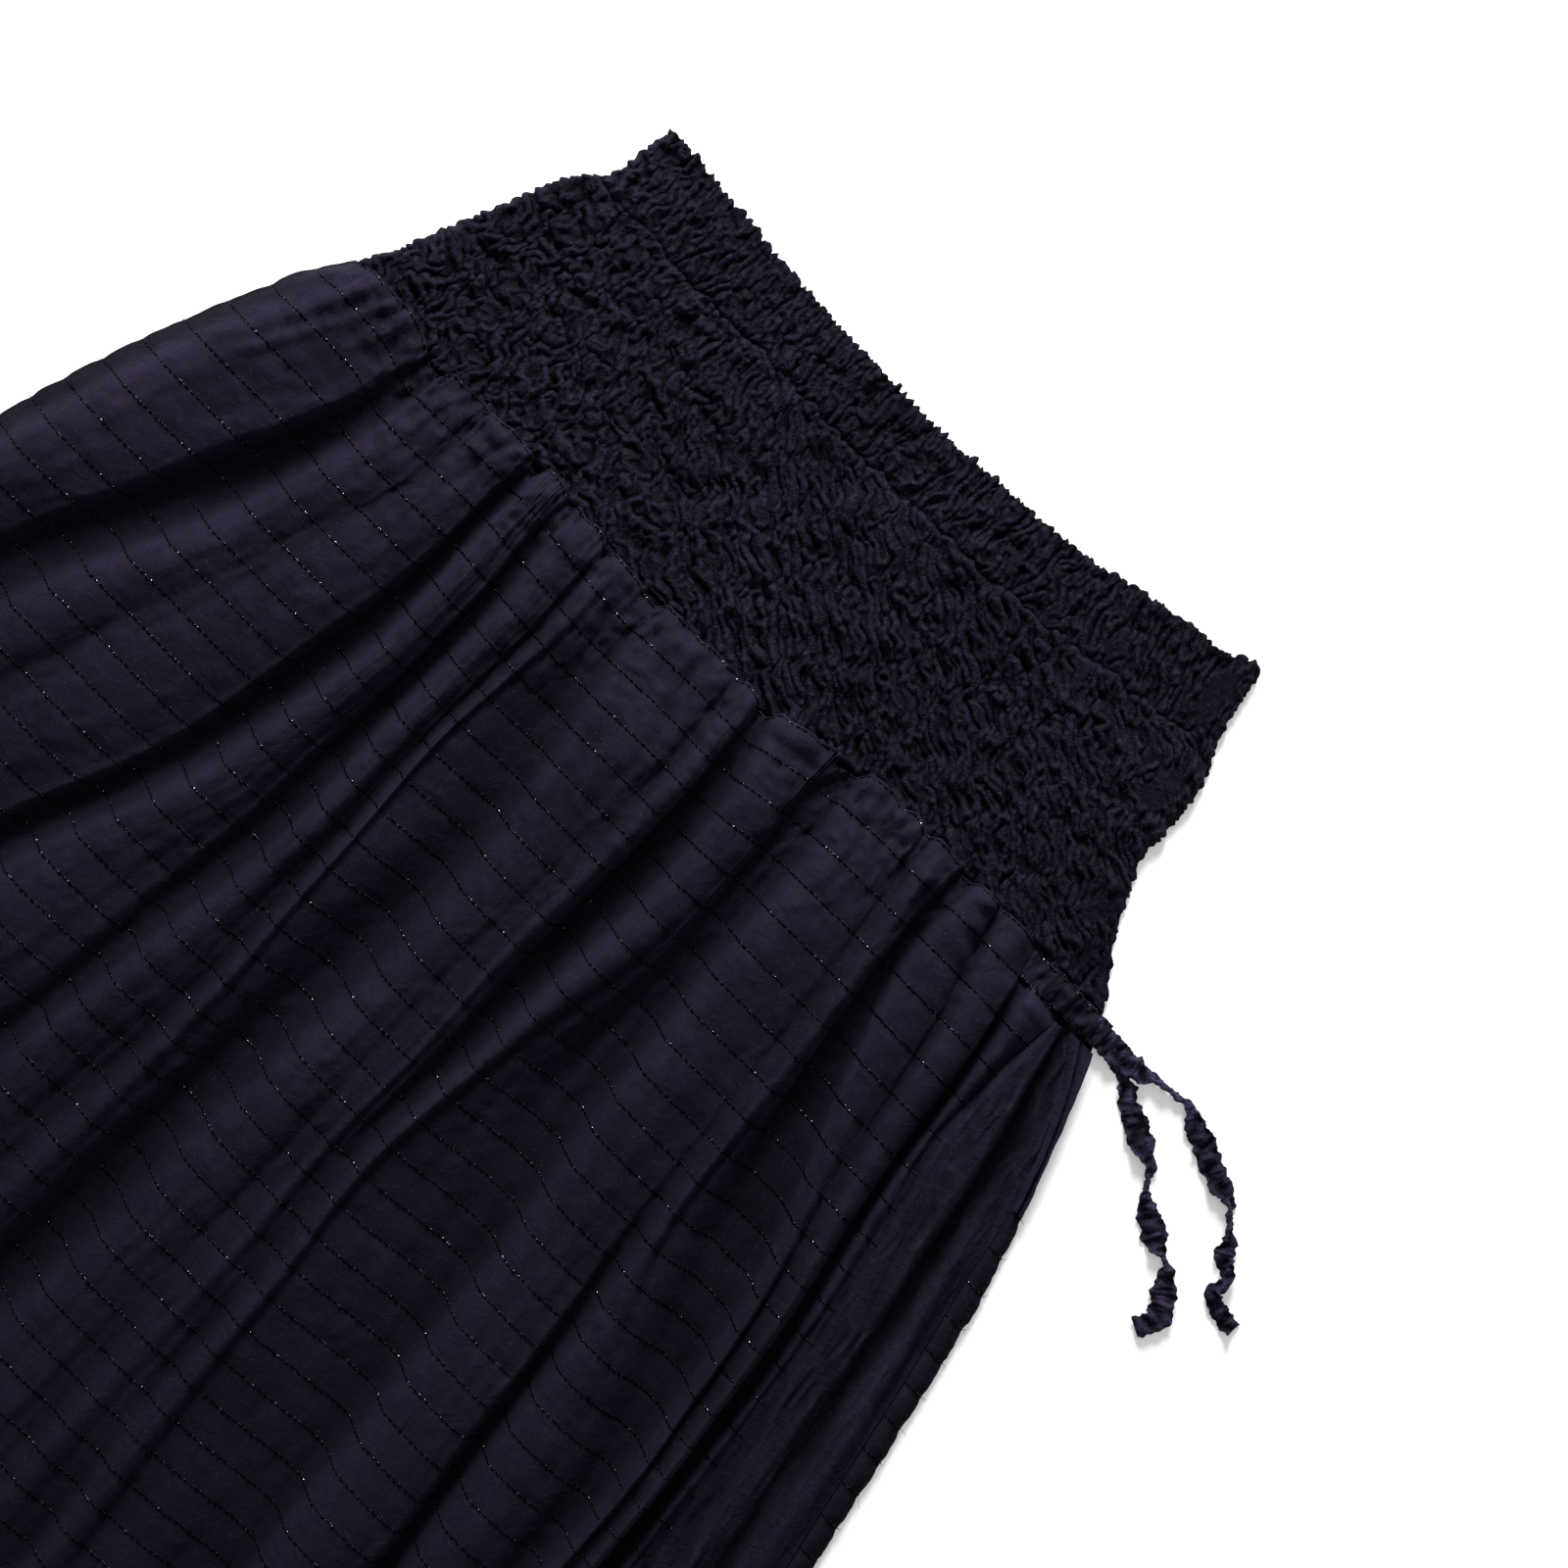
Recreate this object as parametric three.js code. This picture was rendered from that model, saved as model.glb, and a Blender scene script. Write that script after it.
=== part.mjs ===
// Midi skirt laid flat on a surface, in millimetres, with the front layer on top.
// +X runs across to the side with the ties, +Y up to the waist and +Z away from the surface.
// Places on the cloth are given as across (x) and down (from the waist, so y is minus down).
import * as THREE from 'three';

// Cloth and layers
const seamGap = 0.3; // clearance between pieces at a seam or between layers
const panelWall = 1.3; // cloth of the skirt panels
const backPanelWall = 1.5; // back panel, whose underside rests flat
const yokeWall = 2; // smocked cloth between its creases
const backYokeWall = 3; // smocked cloth pressed by the front layer
const puffHeight = 2; // how far the smocking's puffs rise
const headingPuckerHeight = 1.7;
const headingPuckers = 60; // raised puckers along the front of the heading
const puckerLean = 1.2; // how far a pucker's middle wanders sideways
const ruffleDepth = 1.6; // saw-tooth of the heading's top edge
const tieCloth = 1.4;
const facingCloth = 1.1;
const goreWall = 1.5;

// Sizes down the skirt
const seamDown = 146; // mean place of the seam under the yoke
const skirtLength = 820;
const hemRise = 30; // how much higher the hem lies at the sides
const hemHalfWidth = 400;
const openingEnd = 214; // lower end of the side opening
const edgeOpenLength = 40; // length below the opening over which the turned edge rises
const casingTop = 138;
const casingBottom = 150.6;

const clothColour = 0x1f1c29;
const clothRoughness = 0.85;

// Outline of both layers: left and right are the silhouette, front is the right edge of the
// front layer, where the panel is sewn to the side gore, and gore is the gore's right edge.
const outline = [
  { down: -10, left: -165, right: 161, front: 161 },
  { down: 8, left: -166, right: 165, front: 164 },
  { down: 25, left: -168, right: 170, front: 169 },
  { down: 38, left: -171, right: 176, front: 175 },
  { down: 48, left: -181, right: 179, front: 178 },
  { down: 65, left: -188, right: 181, front: 180 },
  { down: 80, left: -194, right: 181, front: 180 },
  { down: 97, left: -201, right: 189, front: 187 },
  { down: 115, left: -208, right: 199, front: 195 },
  { down: 134, left: -218, right: 213, front: 200 },
  { down: 152, left: -230, right: 223, front: 202, gore: 210 },
  { down: 172, left: -239, right: 232, front: 200, gore: 225 },
  { down: 198, left: -250, right: 242, front: 200, gore: 238 },
  { down: 225, left: -260, right: 252, front: 201, gore: 246 },
  { down: 255, left: -270, right: 262, front: 209, gore: 252 },
  { down: 300, left: -282, right: 273, front: 219, gore: 263 },
  { down: 381, left: -300, right: 291, front: 231, gore: 281 },
  { down: 445, left: -315, right: 306, front: 239, gore: 296 },
  { down: 560, left: -342, right: 334, front: 257, gore: 324 },
  { down: 860, left: -415, right: 407, front: 306, gore: 395 },
];

// Lines across the garment: the heading's top edge, the stitched line under it and the seam.
const crossLines = [
  { across: -235, top: 7, stitched: 41, seam: 135 },
  { across: -190, top: 7, stitched: 42, seam: 136 },
  { across: -166, top: 7, stitched: 43, seam: 143 },
  { across: -110, top: 13, stitched: 46, seam: 142 },
  { across: -75, top: 15, stitched: 46, seam: 145 },
  { across: -50, top: 16, stitched: 47, seam: 148 },
  { across: 0, top: 17, stitched: 47, seam: 147 },
  { across: 30, top: 15, stitched: 46, seam: 147 },
  { across: 60, top: 13, stitched: 45, seam: 141 },
  { across: 80, top: 11, stitched: 43, seam: 138 },
  { across: 100, top: 6, stitched: 40, seam: 137 },
  { across: 125, top: 2, stitched: 37, seam: 137 },
  { across: 145, top: -1, stitched: 34, seam: 136 },
  { across: 157, top: -7, stitched: 33, seam: 136 },
  { across: 172, top: -4, stitched: 36, seam: 136 },
  { across: 235, top: -4, stitched: 40, seam: 137 },
];

// Valleys between the front panel's folds, one to a row, each given at all of foldDowns: its
// place across, the reach of its left wall (steep) and right wall (easy), and its depth, the
// share of the fold height that it takes away.
const foldDowns = [146, 190, 250, 420, 820];
const folds = [
  {
    at: [-163, -179, -204, -252, -335], steep: [6, 9, 12, 14, 18],
    easy: [8, 9, 10, 12, 18], depth: [1, 1, 0.9, 0.7, 0.6],
  },
  {
    at: [-135, -138, -150, -198, -285], steep: [3, 3.5, 4, 6, 10],
    easy: [4, 4.5, 5, 8, 14], depth: [0.5, 0.2, 0.1, 0.1, 0.4],
  },
  {
    at: [-108, -108, -113, -156, -235], steep: [5, 6, 8, 12, 16],
    easy: [5, 6, 8, 12, 18], depth: [1, 1, 0.95, 0.8, 0.7],
  },
  {
    at: [-84, -85, -85, -92, -140], steep: [5, 6, 7, 10, 12],
    easy: [5, 6, 8, 10, 14], depth: [0.7, 0.9, 0.9, 0.6, 0.4],
  },
  {
    at: [-58, -57, -55, -57, -85], steep: [3, 4, 5, 6, 8],
    easy: [4, 5, 5, 6, 8], depth: [0.6, 0.3, 0.1, 0.2, 0.3],
  },
  {
    at: [-20, -19, -20, -22, -30], steep: [12, 20, 25, 22, 20],
    easy: [4, 4, 4.5, 8, 14], depth: [0.3, 0.45, 0.6, 0.9, 0.6],
  },
  {
    at: [14, 14.5, 15, 20, 30], steep: [3, 3.5, 4, 5, 8],
    easy: [4, 4, 4, 5, 8], depth: [0.5, 0.2, 0, 0, 0.2],
  },
  {
    at: [29, 31, 33, 46, 75], steep: [4, 4.5, 5, 8, 12],
    easy: [6, 9, 12, 12, 14], depth: [1, 1, 0.95, 0.5, 0.5],
  },
  {
    at: [69, 69, 75, 94, 145], steep: [7, 9, 14, 32, 30],
    easy: [8, 9, 10, 9, 14], depth: [0.9, 0.9, 0.9, 0.85, 0.7],
  },
  {
    at: [112, 119, 130, 154, 196], steep: [4, 4, 5, 6, 10],
    easy: [5, 5, 5, 8, 12], depth: [0.4, 0.1, 0.1, 0.85, 0.6],
  },
  {
    at: [134, 137, 152, 186, 240], steep: [5, 6, 9, 10, 12],
    easy: [8, 10, 14, 10, 14], depth: [1, 1, 0.9, 0.15, 0.2],
  },
  {
    at: [158, 164, 178, 211, 268], steep: [3, 3.5, 4, 5, 8],
    easy: [4, 4, 4, 4, 8], depth: [0.6, 0.2, 0, 0.1, 0.3],
  },
  {
    at: [174, 187, 201, 226, 288], steep: [5, 6, 7, 7, 10],
    easy: [3.5, 4, 4.5, 5, 8], depth: [0.9, 1, 1, 1, 0.7],
  },
];
const ridgeColumns = 2; // points across the top of each fold
const valleyFloor = 0.3; // share of each wall's reach that is the valley's floor
const edgeTaper = 16; // width over which the front panel comes down to its left edge
const frontEdgeShare = 0.5; // share of the fold height kept where the gore is sewn on
const seamFade = 110; // how far down the panel the seam's curve fades out
const hemFadeStart = 500; // where the sections start to bend towards the hem's curve

// Height of the folds' tops over the back layer.
const foldHeights = [
  { down: 130, height: 2.3 },
  { down: 146, height: 2.6 },
  { down: 152, height: 3.8 },
  { down: 160, height: 5 },
  { down: 172, height: 8.4 },
  { down: 200, height: 12 },
  { down: 300, height: 15 },
  { down: 480, height: 15 },
  { down: 700, height: 11 },
  { down: 860, height: 8 },
];

// Sections of the side gore: heights of its shelf, hollow and outer ridge, and the share of
// its width where the hollow lies.
const goreSections = [
  { down: 152, shelf: 3.6, hollow: 1.2, hollowAt: 0.75, ridge: 1, edge: 0.6 },
  { down: 172, shelf: 4.6, hollow: 0.3, hollowAt: 0.7, ridge: 0.5, edge: 0.4 },
  { down: 198, shelf: 5.2, hollow: 0.2, hollowAt: 0.63, ridge: 0.9, edge: 0.6 },
  { down: 225, shelf: 5.4, hollow: 0.3, hollowAt: 0.56, ridge: 3.6, edge: 1.6 },
  { down: 255, shelf: 5.6, hollow: 1.4, hollowAt: 0.58, ridge: 4.6, edge: 2 },
  { down: 300, shelf: 5.6, hollow: 3.4, hollowAt: 0.6, ridge: 5, edge: 2 },
  { down: 381, shelf: 5.6, hollow: 3.6, hollowAt: 0.55, ridge: 5.4, edge: 2 },
  { down: 560, shelf: 6, hollow: 3, hollowAt: 0.5, ridge: 6, edge: 2 },
  { down: 860, shelf: 5, hollow: 2.4, hollowAt: 0.5, ridge: 5, edge: 2 },
];

// The casing's end, over the panel and then over the back layer: undersides and tops.
const casingSections = [
  { across: 178, under: 8.9, over: 10.6 },
  { across: 189, under: 8.9, over: 11 },
  { across: 198, under: 8.5, over: 11 },
  { across: 204, under: 6.2, over: 9.6 },
  { across: 212, under: 2.7, over: 7.4 },
  { across: 221, under: 2, over: 6.2 },
];

// The two ties: middle line, width and roll of the strip, which is pinched and twisted.
const longTie = [
  { across: 221.4, down: 144.3, up: 4.9, width: 9.5, roll: 0 },
  { across: 231, down: 144.6, up: 4, width: 9.5, roll: 4 },
  { across: 240, down: 144.2, up: 3.3, width: 8.5, roll: -6 },
  { across: 249, down: 141.5, up: 3, width: 5, roll: -40 },
  { across: 259, down: 140, up: 2.6, width: 3, roll: -70 },
  { across: 267, down: 139.6, up: 2.8, width: 4, roll: -30 },
  { across: 274, down: 143, up: 2.2, width: 8, roll: 12 },
  { across: 285, down: 147.5, up: 2, width: 9.5, roll: 6 },
  { across: 296, down: 152.5, up: 2, width: 8.5, roll: -10 },
  { across: 304, down: 154.5, up: 2.4, width: 7, roll: -20 },
  { across: 311, down: 160.5, up: 2.6, width: 3, roll: -70 },
  { across: 316.5, down: 166.5, up: 2.4, width: 6, roll: -20 },
  { across: 321, down: 173.5, up: 2.2, width: 8, roll: 10 },
  { across: 328, down: 178.5, up: 3, width: 5, roll: 45 },
  { across: 327.5, down: 186, up: 2.6, width: 6.5, roll: 20 },
  { across: 335, down: 190, up: 1.6, width: 7, roll: 4 },
  { across: 344, down: 191.5, up: 1.3, width: 6.5, roll: 0 },
];
const shortTie = [
  { across: 222.2, down: 146, up: 2.9, width: 6.5, roll: 0 },
  { across: 231, down: 147, up: 1.9, width: 6.5, roll: 0 },
  { across: 238.5, down: 149.6, up: 1.2, width: 5, roll: 0 },
  { across: 245, down: 153.5, up: 1.4, width: 7, roll: -6 },
  { across: 256, down: 160, up: 1.7, width: 9.5, roll: 8 },
  { across: 266, down: 165, up: 1.8, width: 9, roll: -8 },
  { across: 273, down: 168, up: 2.4, width: 5, roll: -35 },
  { across: 277, down: 175, up: 2.2, width: 2.6, roll: -70 },
  { across: 283, down: 180.5, up: 2, width: 7, roll: -14 },
  { across: 291, down: 185, up: 1.8, width: 10, roll: 5 },
  { across: 298.5, down: 189, up: 1.8, width: 7.5, roll: -8 },
  { across: 304, down: 191, up: 2.2, width: 2.8, roll: -70 },
  { across: 309, down: 195.5, up: 2.2, width: 7.5, roll: -14 },
  { across: 315, down: 203, up: 2, width: 10, roll: 6 },
  { across: 318.5, down: 211, up: 2.6, width: 9, roll: -16 },
  { across: 314.5, down: 219, up: 1.6, width: 7.5, roll: 6 },
];

const group = new THREE.Group();

// Small helpers

function smoothStep(share) {
  const held = Math.min(1, Math.max(0, share));
  return held * held * (3 - 2 * held);
}

// Smooth curve through the knots, with each knot's slope the mean of its two neighbours.
function curveAt(knots, values, place) {
  const last = knots.length - 1;
  const slope = (index) => {
    const before = Math.max(0, index - 1);
    const after = Math.min(last, index + 1);
    return (values[after] - values[before]) / (knots[after] - knots[before]);
  };
  const held = Math.min(knots[last], Math.max(knots[0], place));
  let start = 0;
  while (start < last - 1 && held > knots[start + 1]) start += 1;
  const span = knots[start + 1] - knots[start];
  const share = (held - knots[start]) / span;
  const square = share * share;
  const cube = square * share;
  return (
    (2 * cube - 3 * square + 1) * values[start] +
    (cube - 2 * square + share) * span * slope(start) +
    (3 * square - 2 * cube) * values[start + 1] +
    (cube - square) * span * slope(start + 1)
  );
}

// Reads one column of a table at a place along another, from the rows that have it.
function tableCurve(table, placeColumn, valueColumn) {
  const rows = table.filter((row) => row[valueColumn] !== undefined);
  const knots = rows.map((row) => row[placeColumn]);
  const values = rows.map((row) => row[valueColumn]);
  return (place) => curveAt(knots, values, place);
}

const leftEdge = tableCurve(outline, 'down', 'left');
const rightEdge = tableCurve(outline, 'down', 'right');
const frontEdge = tableCurve(outline, 'down', 'front');
const goreEdge = tableCurve(outline, 'down', 'gore');
const topLine = tableCurve(crossLines, 'across', 'top');
const stitchedLine = tableCurve(crossLines, 'across', 'stitched');
const seamLine = tableCurve(crossLines, 'across', 'seam');
const foldHeight = tableCurve(foldHeights, 'down', 'height');

// A repeatable uneven value from 0 to 1 for a grid point.
function uneven(column, row) {
  const value = Math.sin(column * 12.9898 + row * 78.233) * 43758.5453;
  return value - Math.floor(value);
}

function point(across, down, up) {
  return new THREE.Vector3(across, -down, up);
}

// Closed wall between a grid of outer points and a grid of inner points.
// The inner grid takes every columnStep-th column and every rowStep-th row, so an inside can
// be plainer than its outside, and a rim joins the two all round.
function clothWall({ columns, rows, outer, inner, columnStep = 1, rowStep = 1 }) {
  const positions = [];
  const triangles = [];
  const addPoint = (place) => positions.push(place.x, place.y, place.z) / 3 - 1;
  const outerIndex = [];
  const innerIndex = [];
  for (let row = 0; row <= rows; row += 1) {
    outerIndex.push([]);
    innerIndex.push([]);
    for (let column = 0; column <= columns; column += 1) {
      outerIndex[row].push(addPoint(outer(column, row)));
      const kept = column % columnStep === 0 && row % rowStep === 0;
      innerIndex[row].push(kept ? addPoint(inner(column, row)) : undefined);
    }
  }
  for (let row = 0; row < rows; row += 1) {
    for (let column = 0; column < columns; column += 1) {
      const corner = outerIndex[row][column];
      const below = outerIndex[row + 1][column];
      const across = outerIndex[row + 1][column + 1];
      const beside = outerIndex[row][column + 1];
      triangles.push(corner, below, across, corner, across, beside);
    }
  }
  for (let row = 0; row < rows; row += rowStep) {
    for (let column = 0; column < columns; column += columnStep) {
      const corner = innerIndex[row][column];
      const below = innerIndex[row + rowStep][column];
      const across = innerIndex[row + rowStep][column + columnStep];
      const beside = innerIndex[row][column + columnStep];
      triangles.push(corner, across, below, corner, beside, across);
    }
  }
  const addRim = (cells, step) => {
    for (let start = 0; start < cells.length - 1; start += step) {
      const [firstRow, firstColumn] = cells[start];
      const [lastRow, lastColumn] = cells[start + step];
      const first = innerIndex[firstRow][firstColumn];
      const last = innerIndex[lastRow][lastColumn];
      const fine = cells.slice(start, start + step + 1).map(([row, column]) => outerIndex[row][column]);
      const middle = Math.floor(step / 2);
      for (let index = 0; index < step; index += 1) {
        triangles.push(fine[index + 1], fine[index], index < middle ? first : last);
      }
      triangles.push(fine[middle], first, last);
    }
  };
  const downs = Array.from({ length: rows + 1 }, (_, row) => row);
  const acrosses = Array.from({ length: columns + 1 }, (_, column) => column);
  addRim(downs.map((row) => [row, 0]), rowStep);
  addRim(acrosses.map((column) => [rows, column]), columnStep);
  addRim(downs.map((row) => [rows - row, columns]), rowStep);
  addRim(acrosses.map((column) => [0, columns - column]), columnStep);
  return closedGeometry(positions, triangles);
}

function closedGeometry(positions, triangles) {
  const geometry = new THREE.BufferGeometry();
  geometry.setAttribute('position', new THREE.Float32BufferAttribute(positions, 3));
  geometry.setIndex(triangles);
  geometry.computeVertexNormals();
  return geometry;
}

function addPiece(name, geometry) {
  const material = new THREE.MeshStandardMaterial({
    color: clothColour,
    roughness: clothRoughness,
    metalness: 0,
    side: THREE.DoubleSide,
  });
  const mesh = new THREE.Mesh(geometry, material);
  mesh.name = name;
  group.add(mesh);
}

// Place on a piece bounded by two side edges and two lines across, by shares of each.
// A plainer inside is drawn in from all four edges by the share insideInset.
const insideInset = 0.006;

function placeOn(shareAcross, shareDown, left, right, top, bottom, inset = 0) {
  const heldAcross = THREE.MathUtils.lerp(inset / 3, 1 - inset / 3, shareAcross);
  const heldDown = THREE.MathUtils.lerp(inset, 1 - inset, shareDown);
  let down = (top(0) + bottom(0)) / 2;
  let across = 0;
  for (let pass = 0; pass < 4; pass += 1) {
    across = THREE.MathUtils.lerp(left(down), right(down), heldAcross);
    down = THREE.MathUtils.lerp(top(across), bottom(across), heldDown);
  }
  return { across, down };
}

// Front panel

function foldRead(fold, column, down) {
  return curveAt(foldDowns, fold[column], down);
}

// Share of the fold height left at a place: each valley takes its depth out of it.
function foldShare(across, down) {
  let share = 1;
  for (const fold of folds) {
    const offset = across - foldRead(fold, 'at', down);
    const reach = foldRead(fold, offset < 0 ? 'steep' : 'easy', down);
    share *= 1 - foldRead(fold, 'depth', down) * (1 - smoothStep(Math.abs(offset) / reach));
  }
  return share;
}

function frontInside(across, down) {
  const fromLeft = smoothStep((across - leftEdge(down)) / edgeTaper);
  const fromRight = smoothStep((frontEdge(down) - across) / edgeTaper);
  const sides = fromLeft * (frontEdgeShare + (1 - frontEdgeShare) * fromRight);
  return backPanelWall + seamGap + foldHeight(down) * foldShare(across, down) * sides;
}

// Upright thickness that leaves a sloping wall its full thickness, up to a limit.
function uprightWall(height, across, down) {
  const step = 0.5;
  const mostThickening = 1.8;
  const slope = (height(across + step, down) - height(across - step, down)) / (2 * step);
  return panelWall * Math.min(mostThickening, Math.hypot(1, slope));
}

// Columns of one section of the panel: four on each valley and ridgeColumns on each ridge.
function foldColumns(down, left, right) {
  const valleys = folds.map((fold) => {
    const middle = foldRead(fold, 'at', down);
    const steep = foldRead(fold, 'steep', down);
    const easy = foldRead(fold, 'easy', down);
    const floor = [middle - valleyFloor * steep, middle + valleyFloor * easy];
    return [middle - steep, ...floor, middle + easy];
  });
  const places = [left];
  const addRidge = (end) => {
    const start = places[places.length - 1];
    for (let index = 1; index <= ridgeColumns; index += 1) {
      places.push(THREE.MathUtils.lerp(start, end, index / (ridgeColumns + 1)));
    }
  };
  for (const valley of valleys) {
    addRidge(valley[0]);
    places.push(...valley);
  }
  addRidge(right);
  places.push(right);
  return places;
}

const panelDowns = [146, 151, 158, 170, 188, 212, 242, 278, 322, 375, 440, 520, 610, 710, 820];
const goreDowns = [163, 170, 179, 188, 200, 212, 226, 242, 260, 278, 300, 322, 375, 440, 520, 610, 710, 820];
const openingRows = 5; // rows of the gore beside the side opening

// Down of a section's point: the first section follows the seam, the last follows the hem.
function sectionDown(nominal, across) {
  const fromSeam = 1 - smoothStep((nominal - seamDown) / seamFade);
  const toHem = smoothStep((nominal - hemFadeStart) / (skirtLength - hemFadeStart));
  const rise = hemRise * (across / hemHalfWidth) ** 2;
  return nominal + (seamLine(across) + seamGap - seamDown) * fromSeam - rise * toHem;
}

function sectionEdge(edge, nominal) {
  let across = edge(nominal);
  for (let pass = 0; pass < 3; pass += 1) across = edge(sectionDown(nominal, across));
  return across;
}

// An edge as the straight chords between the sections of the piece that owns it.
function chordEdge(edge, sections, nominal) {
  const after = Math.max(1, sections.findIndex((down) => down >= nominal));
  const share = (nominal - sections[after - 1]) / (sections[after] - sections[after - 1]);
  const start = sectionEdge(edge, sections[after - 1]);
  return THREE.MathUtils.lerp(start, sectionEdge(edge, sections[after]), share);
}

function makeFrontPanel() {
  const sections = panelDowns.map((down) =>
    foldColumns(down, sectionEdge(leftEdge, down) + seamGap, sectionEdge(frontEdge, down)));
  const columns = sections[0].length - 1;
  const place = (column, row) => {
    const across = sections[row][column];
    return { across, down: sectionDown(panelDowns[row], across) };
  };
  return clothWall({
    columns,
    rows: panelDowns.length - 1,
    outer: (column, row) => {
      const { across, down } = place(column, row);
      const up = frontInside(across, panelDowns[row]);
      return point(across, down, up + uprightWall(frontInside, across, panelDowns[row]));
    },
    inner: (column, row) => {
      const { across, down } = place(column, row);
      return point(across, down, frontInside(across, panelDowns[row]));
    },
  });
}

// Back panel: plain under the front layers, with its underside flat on the surface.
function makeBackPanel() {
  const columns = 48;
  const backHemDrop = 2;
  const undersideInset = 1; // the plain underside stops short of the seam
  const place = (column, row, inset) => {
    const nominal = panelDowns[row];
    const left = sectionEdge(leftEdge, nominal) + inset;
    const across = THREE.MathUtils.lerp(left, sectionEdge(rightEdge, nominal) - inset, column / columns);
    const hemShare = smoothStep((nominal - 600) / (skirtLength - 600));
    return { across, down: sectionDown(nominal, across) + backHemDrop * hemShare };
  };
  return clothWall({
    columns,
    rows: panelDowns.length - 1,
    columnStep: 3,
    rowStep: 2,
    outer: (column, row) => {
      const { across, down } = place(column, row, 0.4);
      return point(across, down, backPanelWall);
    },
    inner: (column, row) => {
      const { across, down } = place(column, row, 0);
      return point(across, down + (row === 0 ? undersideInset : 0), 0);
    },
  });
}

// A wall of even thickness over the undersides that place gives for each grid point.
function evenWall(columns, rows, thickness, place) {
  const at = (lift) => (column, row) => {
    const { across, down, up } = place(column, row);
    return point(across, down, up + lift);
  };
  return clothWall({ columns, rows, outer: at(thickness), inner: at(0) });
}

// The back panel's edge, which comes round the side fold to its seam with the gore.
function makeTurnedEdge() {
  const bulge = [0.9, 2.4, 3.2, 3.1, 2.2, 0.2];
  const downs = [openingEnd, ...goreDowns.slice(openingRows + 1)];
  const columns = bulge.length - 1;
  return evenWall(columns, downs.length - 1, panelWall, (column, row) => {
    const nominal = downs[row];
    const start = chordEdge(goreEdge, goreDowns, nominal) + seamGap;
    const end = sectionEdge(rightEdge, nominal) - 0.5;
    const across = THREE.MathUtils.lerp(start, end, column / columns);
    const open = smoothStep((nominal - openingEnd) / edgeOpenLength + 0.2);
    const up = backPanelWall + seamGap + bulge[column] * open;
    return { across, down: sectionDown(nominal, across), up };
  });
}

// Height of the gore's underside at a share of its width: a shelf beside the panel's seam,
// a hollow under the opening and an outer ridge.
function goreUnderside(share, down) {
  const read = (column) => tableCurve(goreSections, 'down', column)(down);
  const hollowAt = read('hollowAt');
  const places = [0, 0.12, hollowAt - 0.22, hollowAt, (hollowAt + 1) / 2 + 0.06, 1];
  const start = foldHeight(down) * frontEdgeShare;
  const heights = [start, read('shelf'), read('shelf'), read('hollow'), read('ridge'), read('edge')];
  const after = places.findIndex((place) => place >= share && place > 0);
  const span = (share - places[after - 1]) / (places[after] - places[after - 1]);
  const lift = THREE.MathUtils.lerp(heights[after - 1], heights[after], smoothStep(span));
  return backPanelWall + seamGap + Math.max(0, lift);
}

function makeGore() {
  const columns = 10;
  return evenWall(columns, goreDowns.length - 1, goreWall, (column, row) => {
    const nominal = goreDowns[row];
    const start = chordEdge(frontEdge, panelDowns, nominal) + seamGap;
    const end = sectionEdge(goreEdge, nominal);
    const across = THREE.MathUtils.lerp(start, end, column / columns);
    return { across, down: sectionDown(nominal, across), up: goreUnderside(column / columns, nominal) };
  });
}

// A narrow folded facing along the side opening, between two shares of the space there.
function makeFacing(fromShare, toShare, height) {
  const columns = 3;
  return evenWall(columns, openingRows, facingCloth, (column, row) => {
    const nominal = goreDowns[row];
    const start = sectionEdge(goreEdge, nominal) + seamGap;
    const end = sectionEdge(rightEdge, nominal) - 0.4;
    const share = THREE.MathUtils.lerp(fromShare, toShare, column / columns);
    const across = THREE.MathUtils.lerp(start, end, share);
    const crown = Math.sin((Math.PI * column) / columns);
    const up = backPanelWall + seamGap + height * crown * (1 - (0.5 * row) / openingRows);
    return { across, down: sectionDown(nominal, across), up };
  });
}

// Smocked yoke: puffs raised in the outer points over a plain inside.
function makeFrontYoke() {
  const columns = 66;
  const rows = 16;
  const top = (across) => stitchedLine(across) + seamGap;
  const inside = backYokeWall + seamGap;
  const place = (column, row, inset) =>
    placeOn(column / columns, row / rows, leftEdge, frontEdge, top, seamLine, inset);
  return clothWall({
    columns,
    rows,
    columnStep: 3,
    rowStep: 4,
    outer: (column, row) => {
      const { across, down } = place(column, row);
      const border = column === 0 || column === columns || row === 0 || row === rows;
      const shift = border ? 0 : 1.5;
      const side = Math.min(column, columns - column, 3) / 3;
      const puff = puffHeight * uneven(column, row) * (0.3 + 0.7 * side);
      return point(
        across + shift * (uneven(column, row + 40) - 0.5),
        down + shift * (uneven(column + 70, row) - 0.5),
        inside + yokeWall * (0.5 + 0.5 * side) + puff,
      );
    },
    inner: (column, row) => {
      const { across, down } = place(column, row, insideInset);
      return point(across, down, inside);
    },
  });
}

// Back yoke: its outer side is the underside, pressed flat by the surface.
function makeBackYoke() {
  const columns = 48;
  const rows = 6;
  const top = (across) => stitchedLine(across) + seamGap;
  const place = (column, row, inset) =>
    placeOn(column / columns, row / rows, leftEdge, rightEdge, top, seamLine, inset);
  return clothWall({
    columns,
    rows,
    columnStep: 4,
    rowStep: 3,
    outer: (column, row) => {
      const { across, down } = place(column, row);
      return point(across, down, backYokeWall);
    },
    inner: (column, row) => {
      const { across, down } = place(column, row, insideInset);
      return point(across, down, 0);
    },
  });
}

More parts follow.
